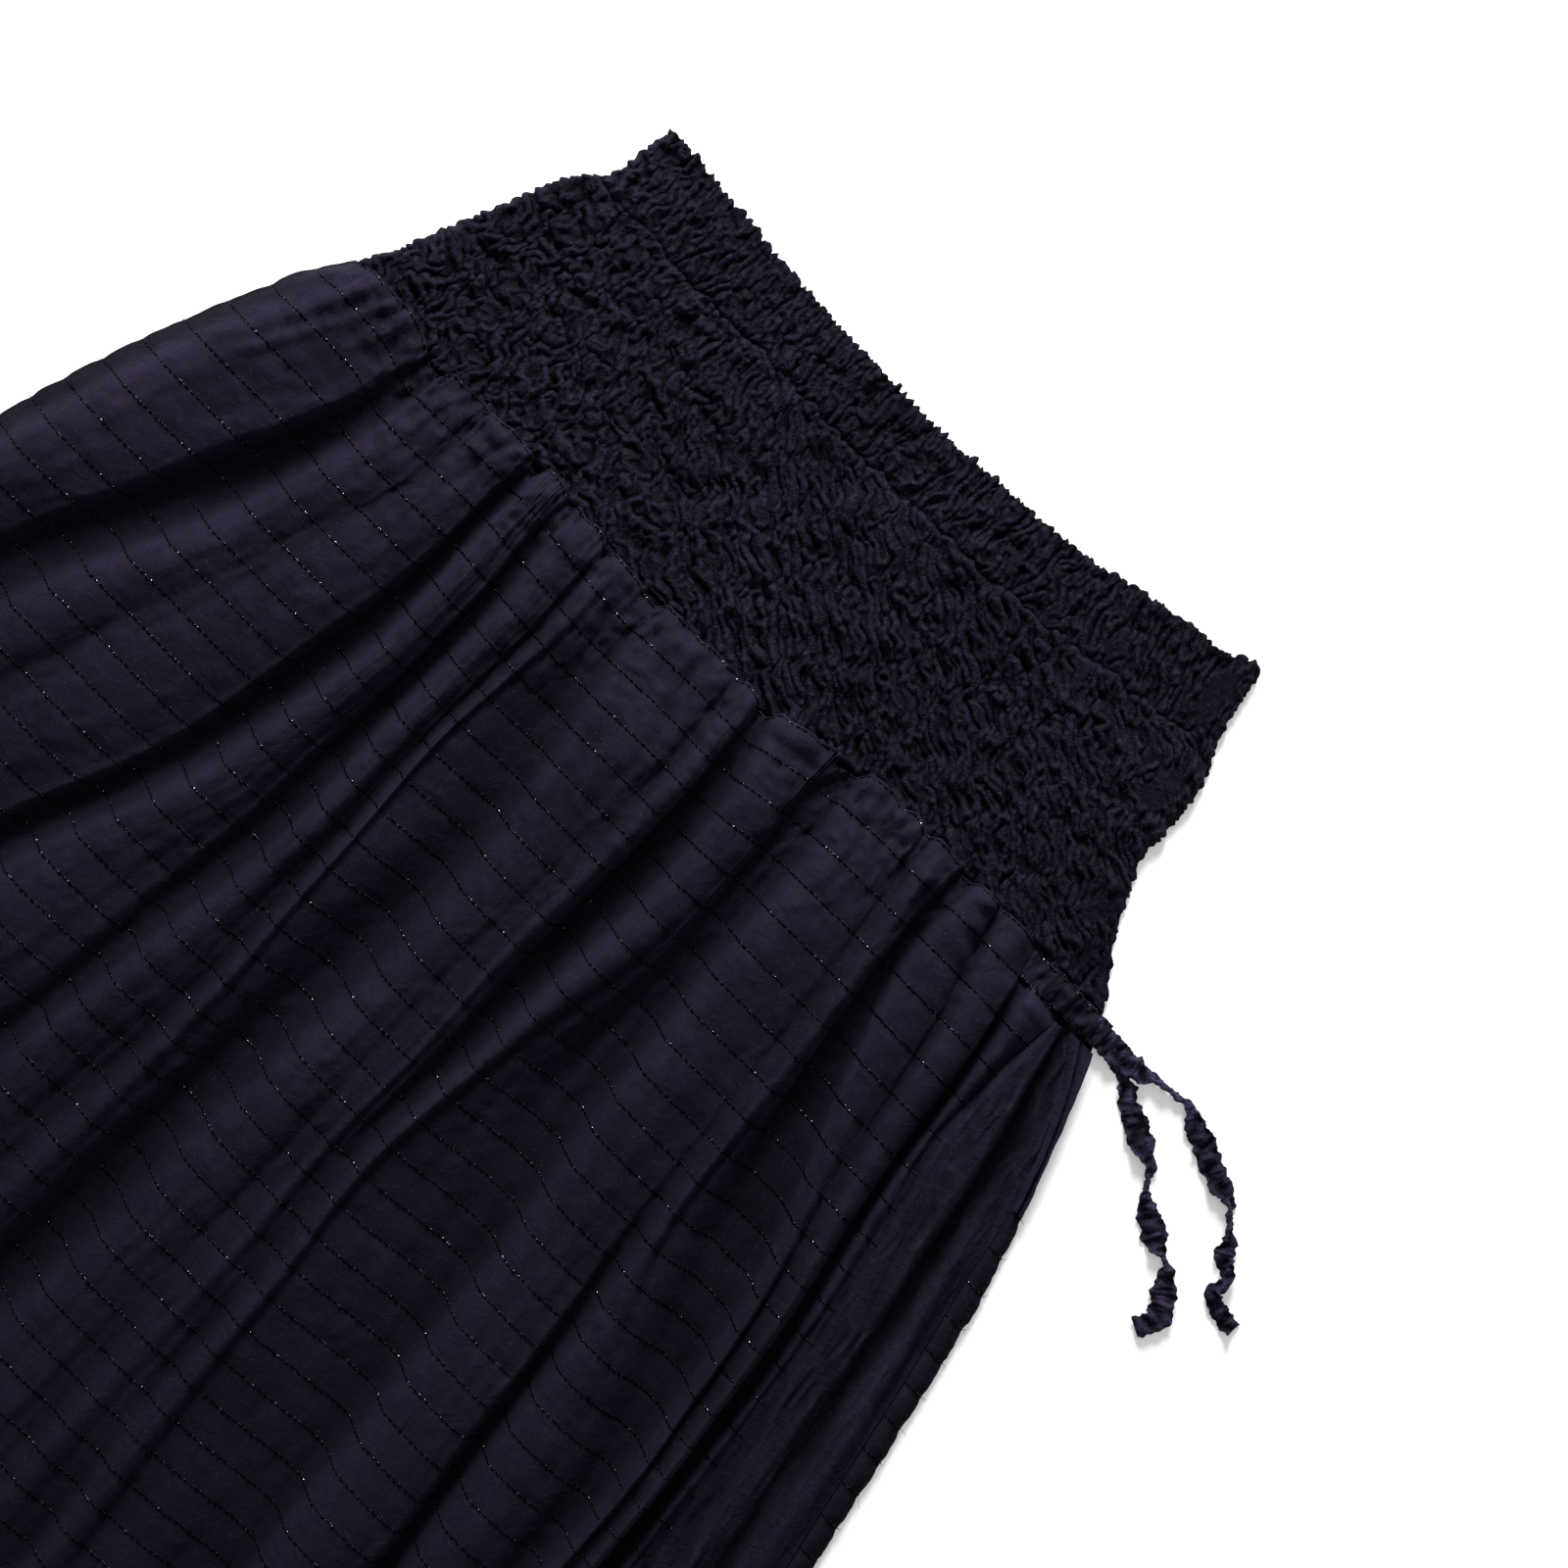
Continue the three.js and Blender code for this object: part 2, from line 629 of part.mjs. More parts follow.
// Heading: upright puckers and a saw-tooth top edge on the front, a plain back.
function makeFrontHeading() {
  const columns = 2 * headingPuckers;
  const rows = 4;
  const inside = backYokeWall + seamGap;
  const place = (column, row, inset) =>
    placeOn(column / columns, row / rows, leftEdge, frontEdge, topLine, stitchedLine, inset);
  return clothWall({
    columns,
    rows,
    columnStep: 5,
    rowStep: 4,
    outer: (column, row) => {
      const { across, down } = place(column, row);
      const raised = column % 2;
      const pucker = headingPuckerHeight * raised * (0.55 + 0.45 * uneven(column, row));
      const tooth = row === 0 ? ruffleDepth * raised * (0.4 + 0.6 * uneven(column, 9)) : 0;
      const border = row === 0 || column === 0 || column === columns;
      const lean = border ? 0 : puckerLean * (uneven(column, row + 5) - 0.5);
      return point(across + lean, down - tooth, inside + yokeWall * 0.9 + pucker);
    },
    inner: (column, row) => {
      const { across, down } = place(column, row, 2 * insideInset);
      return point(across, down, inside);
    },
  });
}

function makeBackHeading() {
  const columns = 48;
  const rows = 2;
  const place = (column, row, inset) =>
    placeOn(column / columns, row / rows, leftEdge, rightEdge, topLine, stitchedLine, inset);
  return clothWall({
    columns,
    rows,
    columnStep: 4,
    rowStep: 2,
    outer: (column, row) => {
      const { across, down } = place(column, row);
      const tooth = row === 0 ? ruffleDepth * (column % 2) * (0.4 + 0.6 * uneven(column, 3)) : 0;
      return point(across, down - tooth, backYokeWall);
    },
    inner: (column, row) => {
      const { across, down } = place(column, row, 2 * insideInset);
      return point(across, down, 0);
    },
  });
}

// End of the casing that the ties come out of, lying on the panel and then on the back layer.
function makeCasing() {
  const rows = 4;
  const under = tableCurve(casingSections, 'across', 'under');
  const over = tableCurve(casingSections, 'across', 'over');
  const columns = 12;
  const [first] = casingSections;
  const last = casingSections[casingSections.length - 1];
  const place = (column, row) => {
    const across = THREE.MathUtils.lerp(first.across, last.across, column / columns);
    return { across, down: THREE.MathUtils.lerp(casingTop, casingBottom, row / rows) };
  };
  return clothWall({
    columns,
    rows,
    outer: (column, row) => {
      const { across, down } = place(column, row);
      const crown = Math.sin((Math.PI * row) / rows);
      return point(across, down, THREE.MathUtils.lerp(under(across) + facingCloth, over(across), crown));
    },
    inner: (column, row) => {
      const { across, down } = place(column, row);
      return point(across, down, under(across));
    },
  });
}

// A tie: a flat strip whose six-sided section follows its middle line, rolled and pinched.
function makeTie(stations) {
  const stepsPerStation = 3;
  const middles = stations.map((row) => point(row.across, row.down, row.up));
  const curve = new THREE.CatmullRomCurve3(middles, false, 'centripetal');
  const rings = (stations.length - 1) * stepsPerStation;
  const knots = stations.map((_, index) => index);
  const positions = [];
  const triangles = [];
  const sides = 6;
  for (let ring = 0; ring <= rings; ring += 1) {
    const along = ring / stepsPerStation;
    const middle = curve.getPoint(ring / rings);
    const tangent = curve.getTangent(ring / rings);
    const beside = new THREE.Vector3(-tangent.y, tangent.x, 0).normalize();
    const above = new THREE.Vector3().crossVectors(tangent, beside).normalize();
    const roll = THREE.MathUtils.degToRad(curveAt(knots, stations.map((row) => row.roll), along));
    const width = curveAt(knots, stations.map((row) => row.width), along);
    const crinkle = 0.25 * (ring % 2);
    const profile = [
      [-width / 2, 0],
      [-width / 4, -tieCloth / 2],
      [width / 4, -tieCloth / 2],
      [width / 2, 0],
      [width / 4, tieCloth / 2 + crinkle],
      [-width / 4, tieCloth / 2 + crinkle],
    ];
    for (const [out, up] of profile) {
      const place = middle.clone();
      place.addScaledVector(beside, out * Math.cos(roll) - up * Math.sin(roll));
      place.addScaledVector(above, out * Math.sin(roll) + up * Math.cos(roll));
      positions.push(place.x, place.y, Math.max(0, place.z));
    }
  }
  for (let ring = 0; ring < rings; ring += 1) {
    for (let side = 0; side < sides; side += 1) {
      const corner = ring * sides + side;
      const beside = ring * sides + ((side + 1) % sides);
      triangles.push(corner, beside + sides, corner + sides, corner, beside, beside + sides);
    }
  }
  const lastRing = rings * sides;
  for (let side = 1; side < sides - 1; side += 1) {
    triangles.push(0, side + 1, side);
    triangles.push(lastRing, lastRing + side, lastRing + side + 1);
  }
  return closedGeometry(positions, triangles);
}

addPiece('heading_front', makeFrontHeading());
addPiece('heading_back', makeBackHeading());
addPiece('yoke_front', makeFrontYoke());
addPiece('yoke_back', makeBackYoke());
addPiece('skirt_front', makeFrontPanel());
addPiece('skirt_back', makeBackPanel());
addPiece('skirt_back_turned_edge', makeTurnedEdge());
addPiece('side_gore', makeGore());
addPiece('opening_facing_inner', makeFacing(0.02, 0.48, 1.2));
addPiece('opening_facing_outer', makeFacing(0.56, 1, 0.7));
addPiece('tie_casing', makeCasing());
addPiece('tie_long', makeTie(longTie));
addPiece('tie_short', makeTie(shortTie));

// The origin is the middle of the garment's outline, on the surface it lies on.
const bounds = new THREE.Box3().setFromObject(group);
const centre = bounds.getCenter(new THREE.Vector3());
group.position.set(-centre.x, -centre.y, -bounds.min.z);

export default group;
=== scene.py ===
"""Midi skirt laid flat, with a smocked yoke, threaded panels, a plain gore and side ties.

Shapes are worked out in millimetres on the cloth: across (towards the side with the ties),
down (from the waist) and up (from the surface). to_world turns them into Blender's metres.
"""

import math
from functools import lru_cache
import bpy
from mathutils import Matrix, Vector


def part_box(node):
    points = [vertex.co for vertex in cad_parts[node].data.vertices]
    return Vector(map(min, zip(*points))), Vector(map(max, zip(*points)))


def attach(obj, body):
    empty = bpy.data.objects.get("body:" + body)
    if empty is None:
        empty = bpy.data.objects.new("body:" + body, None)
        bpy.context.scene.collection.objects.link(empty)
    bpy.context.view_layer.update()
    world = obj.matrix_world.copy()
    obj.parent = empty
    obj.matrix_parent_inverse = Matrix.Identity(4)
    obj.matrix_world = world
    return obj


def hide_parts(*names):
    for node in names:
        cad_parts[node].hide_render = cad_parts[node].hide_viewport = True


bl_info = {
    "name": "Midi Skirt Laid Flat",
    "version": (1, 0, 0),
    "blender": (4, 5, 0),
    "location": "View3D > Sidebar > Skirt",
    "description": "Builds a laid-out midi skirt, piece by piece, around its frame",
    "category": "Add Mesh",
}

import bmesh
import bpy
import numpy as np
from mathutils import Vector

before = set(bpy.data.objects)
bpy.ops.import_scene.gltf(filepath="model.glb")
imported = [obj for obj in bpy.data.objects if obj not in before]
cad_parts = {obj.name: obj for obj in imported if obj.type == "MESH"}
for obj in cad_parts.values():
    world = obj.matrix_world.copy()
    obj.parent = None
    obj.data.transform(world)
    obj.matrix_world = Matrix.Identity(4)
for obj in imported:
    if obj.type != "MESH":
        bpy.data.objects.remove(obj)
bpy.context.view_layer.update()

MM = 0.001

# Cloth and layers, in millimetres
SEAM_GAP = 0.3
PANEL_WALL = 1.3
BACK_WALL = 1.5
BACK_YOKE_WALL = 3.0
REST_UP = 0.15  # how far the undermost cloth's middle is above the surface
PANEL_UP = BACK_WALL + SEAM_GAP + PANEL_WALL
YOKE_UP = BACK_YOKE_WALL + SEAM_GAP + 0.4
YOKE_SIDE_UP = 2.4
SIDE_FOLD_UP = 0.9

# Sizes down the skirt
SEAM_DOWN = 146.0
SKIRT_LENGTH = 820.0
HEM_RISE = 30.0
HEM_HALF_WIDTH = 400.0
CASING_START = 178.0
CASING_END = 221.0
CASING_TOP = 138.0
CASING_BOTTOM = 150.6
SEAM_FADE = 110.0
HEM_FADE_START = 500.0
HEM_DEPTH = 12.0
GORE_TOP = 162.5
EDGE_TOP = 208.0
EDGE_BARE = 6.0  # from its top to where its first thread may lie
FACING_TOP = 160.5
FACING_END = 222.0
SEAM_THREAD = 0.8  # from the seam to the thread on it
FIRST_THREAD = 14.2  # from the seam to the thread under the casing
LAST_THREAD = 4.0  # from the last thread to the hem at least
TUFT_RADIUS = 0.09

# Places across
CASING_COVER = 166.0
TIE_SIDE = 118.0

# Cuts of the cloth before it was gathered, width and length
FRONT_CUT = (850.0, 690.0)
BACK_CUT = (960.0, 690.0)
YOKE_CUT = (760.0, 110.0)
HEADING_CUT = (620.0, 42.0)
GORE_CUT = (120.0, 680.0)


def table(columns, *rows):
    """Rows as dictionaries under named columns; a short row lacks the last of them."""
    return [dict(zip(columns.split(), row)) for row in rows]


OUTLINE = table(
    "down left right front gore",
    (-10, -165, 161, 161),
    (8, -166, 165, 164),
    (25, -168, 170, 169),
    (38, -171, 176, 175),
    (48, -181, 179, 178),
    (65, -188, 181, 180),
    (80, -194, 181, 180),
    (97, -201, 189, 187),
    (115, -208, 199, 195),
    (134, -218, 213, 200),
    (152, -230, 223, 202, 210),
    (172, -239, 232, 200, 225),
    (198, -250, 242, 200, 238),
    (225, -260, 252, 201, 246),
    (255, -270, 262, 209, 252),
    (300, -282, 273, 219, 263),
    (381, -300, 291, 231, 281),
    (445, -315, 306, 239, 296),
    (560, -342, 334, 257, 324),
    (860, -415, 407, 306, 395),
)
CROSS_LINES = table(
    "across top stitched seam",
    (-235, 7, 41, 135),
    (-190, 7, 42, 136),
    (-166, 7, 43, 143),
    (-110, 13, 46, 142),
    (-75, 15, 46, 145),
    (-50, 16, 47, 148),
    (0, 17, 47, 147),
    (30, 15, 46, 147),
    (60, 13, 45, 141),
    (80, 11, 43, 138),
    (100, 6, 40, 137),
    (125, 2, 37, 137),
    (145, -1, 34, 136),
    (157, -7, 33, 136),
    (172, -4, 36, 136),
    (235, -4, 40, 137),
)

# Valleys between the front panel's folds, each at all of FOLD_DOWNS: place across, reach of
# the left wall (steep), the floor and the right wall (easy), and the share of the fold height
# taken away.
# Tilt is how far the ridge at its left falls from its left shoulder to its right one.
FOLD_DOWNS = [146, 190, 250, 320, 420, 820]
FOLDS = [
    dict(at=[-166, -178, -204, -232, -262, -335], steep=[8, 11, 14, 16, 16, 18],
         floor=[4, 6, 12, 8, 4, 0], easy=[6, 8, 10, 10, 12, 16],
         depth=[1, 1, 0.95, 0.8, 0.7, 0.6], tilt=0.1),
    dict(at=[-137, -141, -160, -184, -214, -285], steep=[3, 3.5, 4, 5, 6, 10],
         floor=[0, 0, 0, 0, 0, 0], easy=[4, 4.5, 5, 6, 8, 14],
         depth=[0.4, 0.1, 0.05, 0.05, 0.1, 0.4], tilt=0.1),
    dict(at=[-108, -111, -114, -126, -158, -235], steep=[5, 6, 11, 12, 14, 16],
         floor=[2, 4, 5, 4, 2, 0], easy=[5, 5, 7, 9, 10, 16],
         depth=[1, 1, 1, 0.9, 0.8, 0.7], tilt=0.25),
    dict(at=[-87, -85, -86, -84, -94, -142], steep=[5, 5, 6, 12, 14, 14],
         floor=[2, 4, 4, 4, 2, 0], easy=[4, 5, 6, 7, 8, 14],
         depth=[0.7, 0.95, 0.95, 0.8, 0.6, 0.4], tilt=0.3),
    dict(at=[-62, -62, -62, -60, -58, -85], steep=[4, 4, 4.5, 5, 6, 8],
         floor=[0, 0, 0, 0, 0, 0], easy=[4, 3.5, 3.5, 4, 5, 8],
         depth=[0.75, 0.5, 0.3, 0.2, 0.2, 0.3], tilt=0.3),
    dict(at=[-35, -34, -21, -20, -29, -34], steep=[14, 20, 36, 33, 16, 20],
         floor=[2, 2, 0, 2, 6, 0], easy=[6, 9, 10, 13, 14, 14],
         depth=[0.65, 0.85, 0.9, 0.95, 0.95, 0.6], tilt=0.15),
    dict(at=[13, 13.5, 14, 16, 18, 30], steep=[3, 3.5, 4, 5, 5, 8],
         floor=[0, 0, 0, 0, 0, 0], easy=[4, 4, 4, 4, 5, 8],
         depth=[0.4, 0.2, 0, 0, 0, 0.2], tilt=0.05),
    dict(at=[28, 31, 33, 34, 38, 75], steep=[4, 4.5, 7, 9, 8, 12],
         floor=[3, 9, 10, 4, 0, 0], easy=[5, 6, 6, 6, 6, 12],
         depth=[1, 1, 1, 0.7, 0.15, 0.5], tilt=0.15),
    dict(at=[66, 68, 75, 80, 102, 150], steep=[5, 7, 13, 30, 54, 38],
         floor=[8, 9, 8, 12, 4, 0], easy=[5, 6, 7, 8, 9, 14],
         depth=[1, 1, 1, 0.95, 0.9, 0.7], tilt=0.3),
    dict(at=[112, 118, 127, 137, 154, 205], steep=[4, 4, 5, 6, 8, 10],
         floor=[0, 0, 0, 0, 0, 0], easy=[5, 5, 5, 6, 8, 12],
         depth=[0.3, 0.1, 0.1, 0.25, 0.9, 0.6], tilt=0.05),
    dict(at=[134, 136, 147, 170, 198, 238], steep=[5, 6, 7, 22, 16, 12],
         floor=[4, 5, 14, 18, 4, 0], easy=[4, 4, 6, 7, 7, 10],
         depth=[1, 1, 1, 0.9, 0.6, 0.2], tilt=0.2),
    dict(at=[155, 165, 180, 202, 215, 264], steep=[4, 4, 4, 4, 3.5, 8],
         floor=[0, 0, 0, 0, 0, 0], easy=[5, 4, 4, 4, 3.5, 6],
         depth=[0.5, 0.3, 0.1, 0, 0.1, 0.3], tilt=0.25),
    dict(at=[179, 188, 199, 214.5, 227, 282], steep=[4, 5, 5, 5.5, 6, 8],
         floor=[1, 1.5, 1, 1.5, 2, 0], easy=[3.5, 3, 3, 3.5, 4.5, 6],
         depth=[0.9, 1, 1, 1, 1, 0.7], tilt=0.2),
]
CROWN = 0.16  # how much a ridge's top is rounded, as a share of its height
VALLEY_FLOOR = 0.4  # share of a valley's walls that its columns set apart
COLUMN_STEP = 1.6
EDGE_TAPER = 16.0
FRONT_EDGE_SHARE = 0.5
FOLD_HEIGHTS = table(
    "down height",
    (130, 3.5),
    (146, 3.8),
    (149, 5.8),
    (153, 7),
    (160, 8.4),
    (172, 10.4),
    (186, 12.4),
    (200, 13.4),
    (300, 15),
    (480, 15),
    (700, 11),
    (860, 8),
)
GORE_SECTIONS = table(
    "down shelf hollow hollow_at fall ridge edge",
    (152, 4.4, 0.8, 0.7, 0.3, 0.4, 0.4),
    (172, 9.4, 0, 0.5, 0.12, 0, 0.3),
    (198, 12.4, 0, 0.52, 0.12, 0, 0.3),
    (225, 12.4, 0, 0.58, 0.12, 1.2, 1),
    (255, 11, 0.4, 0.56, 0.13, 6, 1.4),
    (300, 9, 1.4, 0.56, 0.14, 7.6, 1.6),
    (381, 6.8, 2.4, 0.55, 0.2, 6.8, 2),
    (560, 6.2, 2.6, 0.5, 0.22, 6, 2),
    (860, 5, 2.4, 0.5, 0.22, 5, 2),
)
CASING_SECTIONS = table(
    "across under over",
    (178, 8.9, 10.6),
    (189, 8.9, 11),
    (198, 8.5, 11),
    (204, 6.2, 9.6),
    (212, 2.7, 7.4),
    (221, 2, 6.2),
)
LONG_TIE = table(
    "across down up width roll",
    (213.5, 144.2, 5.4, 9, 0),
    (221.4, 144.3, 4.9, 9.5, 0),
    (231, 144.6, 4, 9.5, 4),
    (240, 144.2, 3.3, 8.5, -6),
    (249, 141.5, 3, 5, -40),
    (259, 140, 2.6, 3, -70),
    (267, 139.6, 2.8, 4, -30),
    (274, 143, 2.2, 8, 12),
    (285, 147.5, 2, 9.5, 6),
    (296, 152.5, 2, 8.5, -10),
    (304, 154.5, 2.4, 7, -20),
    (311, 160.5, 2.6, 3, -70),
    (316.5, 166.5, 2.4, 6, -20),
    (321, 173.5, 2.2, 8, 10),
    (328, 178.5, 3, 5, 45),
    (327.5, 186, 2.6, 6.5, 20),
    (335, 190, 1.6, 7, 4),
    (344, 191.5, 1.3, 6.5, 0),
)
SHORT_TIE = table(
    "across down up width roll",
    (214, 145.2, 3.9, 7, 0),
    (222.2, 146, 2.9, 6.5, 0),
    (231, 147, 1.9, 6.5, 0),
    (238.5, 149.6, 1.2, 5, 0),
    (245, 153.5, 1.4, 7, -6),
    (256, 160, 1.7, 9.5, 8),
    (266, 165, 1.8, 9, -8),
    (273, 168, 2.4, 5, -35),
    (277, 175, 2.2, 2.6, -70),
    (283, 180.5, 2, 7, -14),
    (291, 185, 1.8, 10, 5),
    (298.5, 189, 1.8, 7.5, -8),
    (304, 191, 2.2, 2.8, -70),
    (309, 195.5, 2.2, 7.5, -14),
    (315, 203, 2, 10, 6),
    (318.5, 211, 2.6, 9, -16),
    (314.5, 219, 1.6, 7.5, 6),
)

# Smooth flat pads that stand between the smocking's puffs: middle, half sizes and turn.
PADS = table(
    "across down half_width half_length turn",
    (155, 15, 6, 14, 8),
    (112, 26, 4.5, 7, 0),
    (167, 56, 7, 11, -6),
    (184, 106, 5.5, 10, -28),
    (195, 125, 4, 9, -26),
)

# Listed creases: a soft ridge (or trough, where its height is below 0) from one place
# to another.
FRONT_CREASES = table(
    "start end width height",
    ((-194, 139), (-212, 168), 1.8, 2.6),
    ((-212, 168), (-229, 196), 2.2, 2.0),
    ((-205, 141), (-223, 170), 1.8, 2.4),
    ((-223, 170), (-240, 200), 2.0, 1.9),
    ((-186, 143), (-199, 166), 1.9, 1.8),
    ((-150, 150), (-156, 186), 1.6, 0.9),
    ((-122, 146), (-126, 172), 1.3, -0.9),
    ((-96, 150), (-98, 210), 1.8, 0.8),
    ((-44, 152), (-40, 188), 1.3, -0.9),
    ((-33, 150), (-36, 200), 1.2, 0.8),
    ((-4, 152), (-2, 178), 1.4, -0.7),
    ((44, 150), (47, 196), 1.4, 0.9),
    ((90, 142), (95, 186), 1.7, -0.8),
    ((104, 141), (108, 168), 1.2, 0.8),
    ((122, 142), (126, 170), 1.3, 0.8),
    ((146, 152), (153, 196), 1.6, -0.9),
    ((168, 150), (176, 184), 1.4, 1.1),
    ((192, 152), (196, 196), 1.2, 0.9),
    ((118, 330), (132, 430), 3.0, 1.0),
    ((62, 340), (70, 450), 3.2, -1.0),
    ((-60, 330), (-66, 420), 3.0, 0.9),
)
GORE_CREASES = table(
    "start end width height",
    ((207, 236), (214, 262), 1.1, -1.1),
    ((214, 262), (222, 296), 1.2, -0.9),
    ((222, 296), (229, 330), 1.2, -0.8),
    ((221, 260), (230, 284), 1.0, -0.8),
    ((230, 284), (241, 312), 1.3, -0.7),
    ((213, 285), (226, 318), 1.2, 0.8),
    ((226, 318), (243, 372), 1.4, 0.9),
    ((243, 372), (258, 430), 1.6, 0.9),
    ((236, 300), (250, 352), 1.5, -0.9),
    ((250, 352), (272, 430), 1.8, -0.8),
    ((244, 262), (256, 300), 1.8, 0.8),
    ((205, 196), (208, 214), 1.0, -0.7),
    ((225, 345), (236, 392), 1.3, -0.8),
    ((262, 470), (296, 640), 3.0, 1.0),
    ((280, 460), (320, 620), 3.0, -1.0),
)

# The turned edge's section, from the seam with the gore, over the side fold and under it: share
# of the way across, and how far above or below the panel it lies.
TURN = table(
    "share up",
    (0, -1.5), (0.12, 2.8), (0.25, 4.0), (0.38, 3.7), (0.5, 3.1), (0.62, 2.5), (0.74, 1.8),
    (0.85, 1.1), (0.94, 0.4), (1.0, -0.4), (1.0, -1.4), (0.97, -2.6), (0.88, -3.1), (0.7, -3.15),
)
FACINGS = table(
    "side start end height seed",
    ("inner", -0.05, 0.46, 5.0, 111),
    ("outer", 0.5, 1.02, 4.0, 114),
)

# Each cotton: its name, shares of the two dyes (deep, light), sheen, bump of its yarns and
# creases, creases per mm, how much its relief paints highlights on crests and shade in hollows,
# how much its fine creases get painted shade and painted highlights on their lips (crumple),
# and how far it drifts in hue.
COTTONS = table(
    "name deep light sheen yarn_bump crease_bump creases_per_mm wear crumple drift",
    ("panel", 1, 1, 0.05, 0.35, 0.28, 0.13, 0.42, 0.09, 0.35),
    # side: stronger painted relief shade for the gore and the turned edge
    ("side", 1, 1, 0.05, 0.35, 0.4, 0.16, 0.62, 0.12, 0.3),
    # smocked: both dyes taken down to 0.68 as painted shade for the puffed yoke, with full painted
    # relief shade
    ("smocked", 0.68, 0.68, 0.03, 0.25, 0.6, 0.3, 1.0, 0.5, 0.8),
    # tie: light dye at 3.6 times, painted highlights on the ties
    ("tie", 1, 3.6, 0.08, 0.3, 0.9, 0.55, 0.8, 0.3, 0.4),
)
SHEEN_TINT = (0.52, 0.42, 0.9, 1)
BLUE_GREY = (0.7, 1.0, 0.92, 1)
LINT = (0.09, 0.085, 0.11, 1)
THREAD_BLACK = (0.0018, 0.0016, 0.0022, 1)
THREAD_GLINT = (0.36, 0.38, 0.45, 1)

# The stage. Lights stand level with the picture's middle by so many metres towards its top and
# its right, and so high above it.
LIGHTS = table(
    "name up right height size power colour",
    ("key_light", 1.25, 0.28, 0.68, 0.5, 41.0, (1.0, 0.985, 0.97)),
    ("soft_top_light", 0.6, 0.5, 2.4, 1.8, 8.0, (0.97, 0.98, 1.0)),
)
ROOM_LIGHT = 0.22
FLOOR_HALF = 6.0
PICTURE_MIDDLE = (56.0, 163.2, 6.0)
CAMERA_HEIGHT = 1.6
LENS = 90.0
SENSOR_WIDTH = 36.0


# Small helpers


def smooth_step(share):
    """Eases from 0 to 1: the share held to that range, squared, times three less twice itself."""
    held = np.clip(share, 0.0, 1.0)
    return held * held * (3 - 2 * held)


def mix(start, end, share):
    """The straight mix of two values by a share."""
    return start + (end - start) * share


def near(distance, reach):
    """1 at an edge, falling straight to 0 at the reach from it."""
    return np.clip(1 - distance / reach, 0, 1)


def rounded(distance, radius):
    """Height share over a rounded edge: a quarter circle, 0 on the edge and 1 past the radius."""
    return np.sqrt(np.maximum(0, 1 - near(distance, radius) ** 2))


def curve_at(knots, values, place):
    """A cubic on each span, whose slope at a knot is the mean over its two neighbours."""
    knots = np.asarray(knots, float)
    values = np.asarray(values, float)
    before = np.maximum(np.arange(len(knots)) - 1, 0)
    after = np.minimum(np.arange(len(knots)) + 1, len(knots) - 1)
    slopes = (values[after] - values[before]) / (knots[after] - knots[before])
    held = np.clip(place, knots[0], knots[-1])
    start = np.clip(np.searchsorted(knots, held, side="left") - 1, 0, len(knots) - 2)
    span = knots[start + 1] - knots[start]
    share = (held - knots[start]) / span
    square = share * share
    cube = square * share
    return (
        (2 * cube - 3 * square + 1) * values[start]
        + (cube - 2 * square + share) * span * slopes[start]
        + (3 * square - 2 * cube) * values[start + 1]
        + (cube - square) * span * slopes[start + 1]
    )


def table_curve(rows, place_column, value_column):
    """One column of a table as a smooth curve over another, from the rows that have it."""
    rows = [row for row in rows if value_column in row]
    knots = [row[place_column] for row in rows]
    values = [row[value_column] for row in rows]
    return lambda place: curve_at(knots, values, place)


left_edge, right_edge, front_edge, gore_edge = (
    table_curve(OUTLINE, "down", name) for name in ("left", "right", "front", "gore"))
top_line, stitched_line, seam_line = (
    table_curve(CROSS_LINES, "across", name) for name in ("top", "stitched", "seam"))
fold_height = table_curve(FOLD_HEIGHTS, "down", "height")


def soft_noise(across, down, seed):
    """Gradient noise, about -1 to 1: each unit cell blends slopes that its corners point along,
    in directions hashed from the corner and the seed."""
    cell_across = np.floor(across).astype(np.int64)
    cell_down = np.floor(down).astype(np.int64)
    part_across = across - cell_across
    part_down = down - cell_down
    ease_across = part_across**3 * (part_across * (part_across * 6 - 15) + 10)
    ease_down = part_down**3 * (part_down * (part_down * 6 - 15) + 10)

    def corner(step_across, step_down):
        mixed = (cell_across + step_across) * 374761393 + (cell_down + step_down) * 668265263
        mixed = (mixed + seed * 974634777) & 0x7FFFFFFF
        mixed = ((mixed ^ (mixed >> 13)) * 1274126177) & 0x7FFFFFFF
        angle = (mixed ^ (mixed >> 16)) * (2 * math.pi / 0x7FFFFFFF)
        return np.cos(angle) * (part_across - step_across) + np.sin(angle) * (part_down - step_down)

    upper = mix(corner(0, 0), corner(1, 0), ease_across)
    lower = mix(corner(0, 1), corner(1, 1), ease_across)
    return 1.5 * mix(upper, lower, ease_down)


def layered(across, down, *layers):
    """The sum of soft noises, each given as height, size across, size down and seed."""
    return sum(height * soft_noise(across / wide, down / long, seed)
               for height, wide, long, seed in layers)


def puffed(across, down, seed, roundness):
    """Puffs with sharp creases between them: the size of soft noise, raised to a power under 1
    so that the tops are round and the creases narrow. About 0 to 1."""
    return np.clip(np.abs(soft_noise(across, down, seed)) * 1.25, 0, 1.2) ** roundness


def crested(across, down, seed):
    """Thin crests along the lines where soft noise is 0, from 0 to 1: what puffs leave, squared."""
    return np.clip(1 - 1.2 * puffed(across, down, seed, 0.9), 0, 1) ** 2


def lined(across, down, seed):
    """Narrow ridges along the same kind of lines, 1 on them and falling off straight."""
    return 1 - np.clip(np.abs(soft_noise(across, down, seed)) * 6, 0, 1)


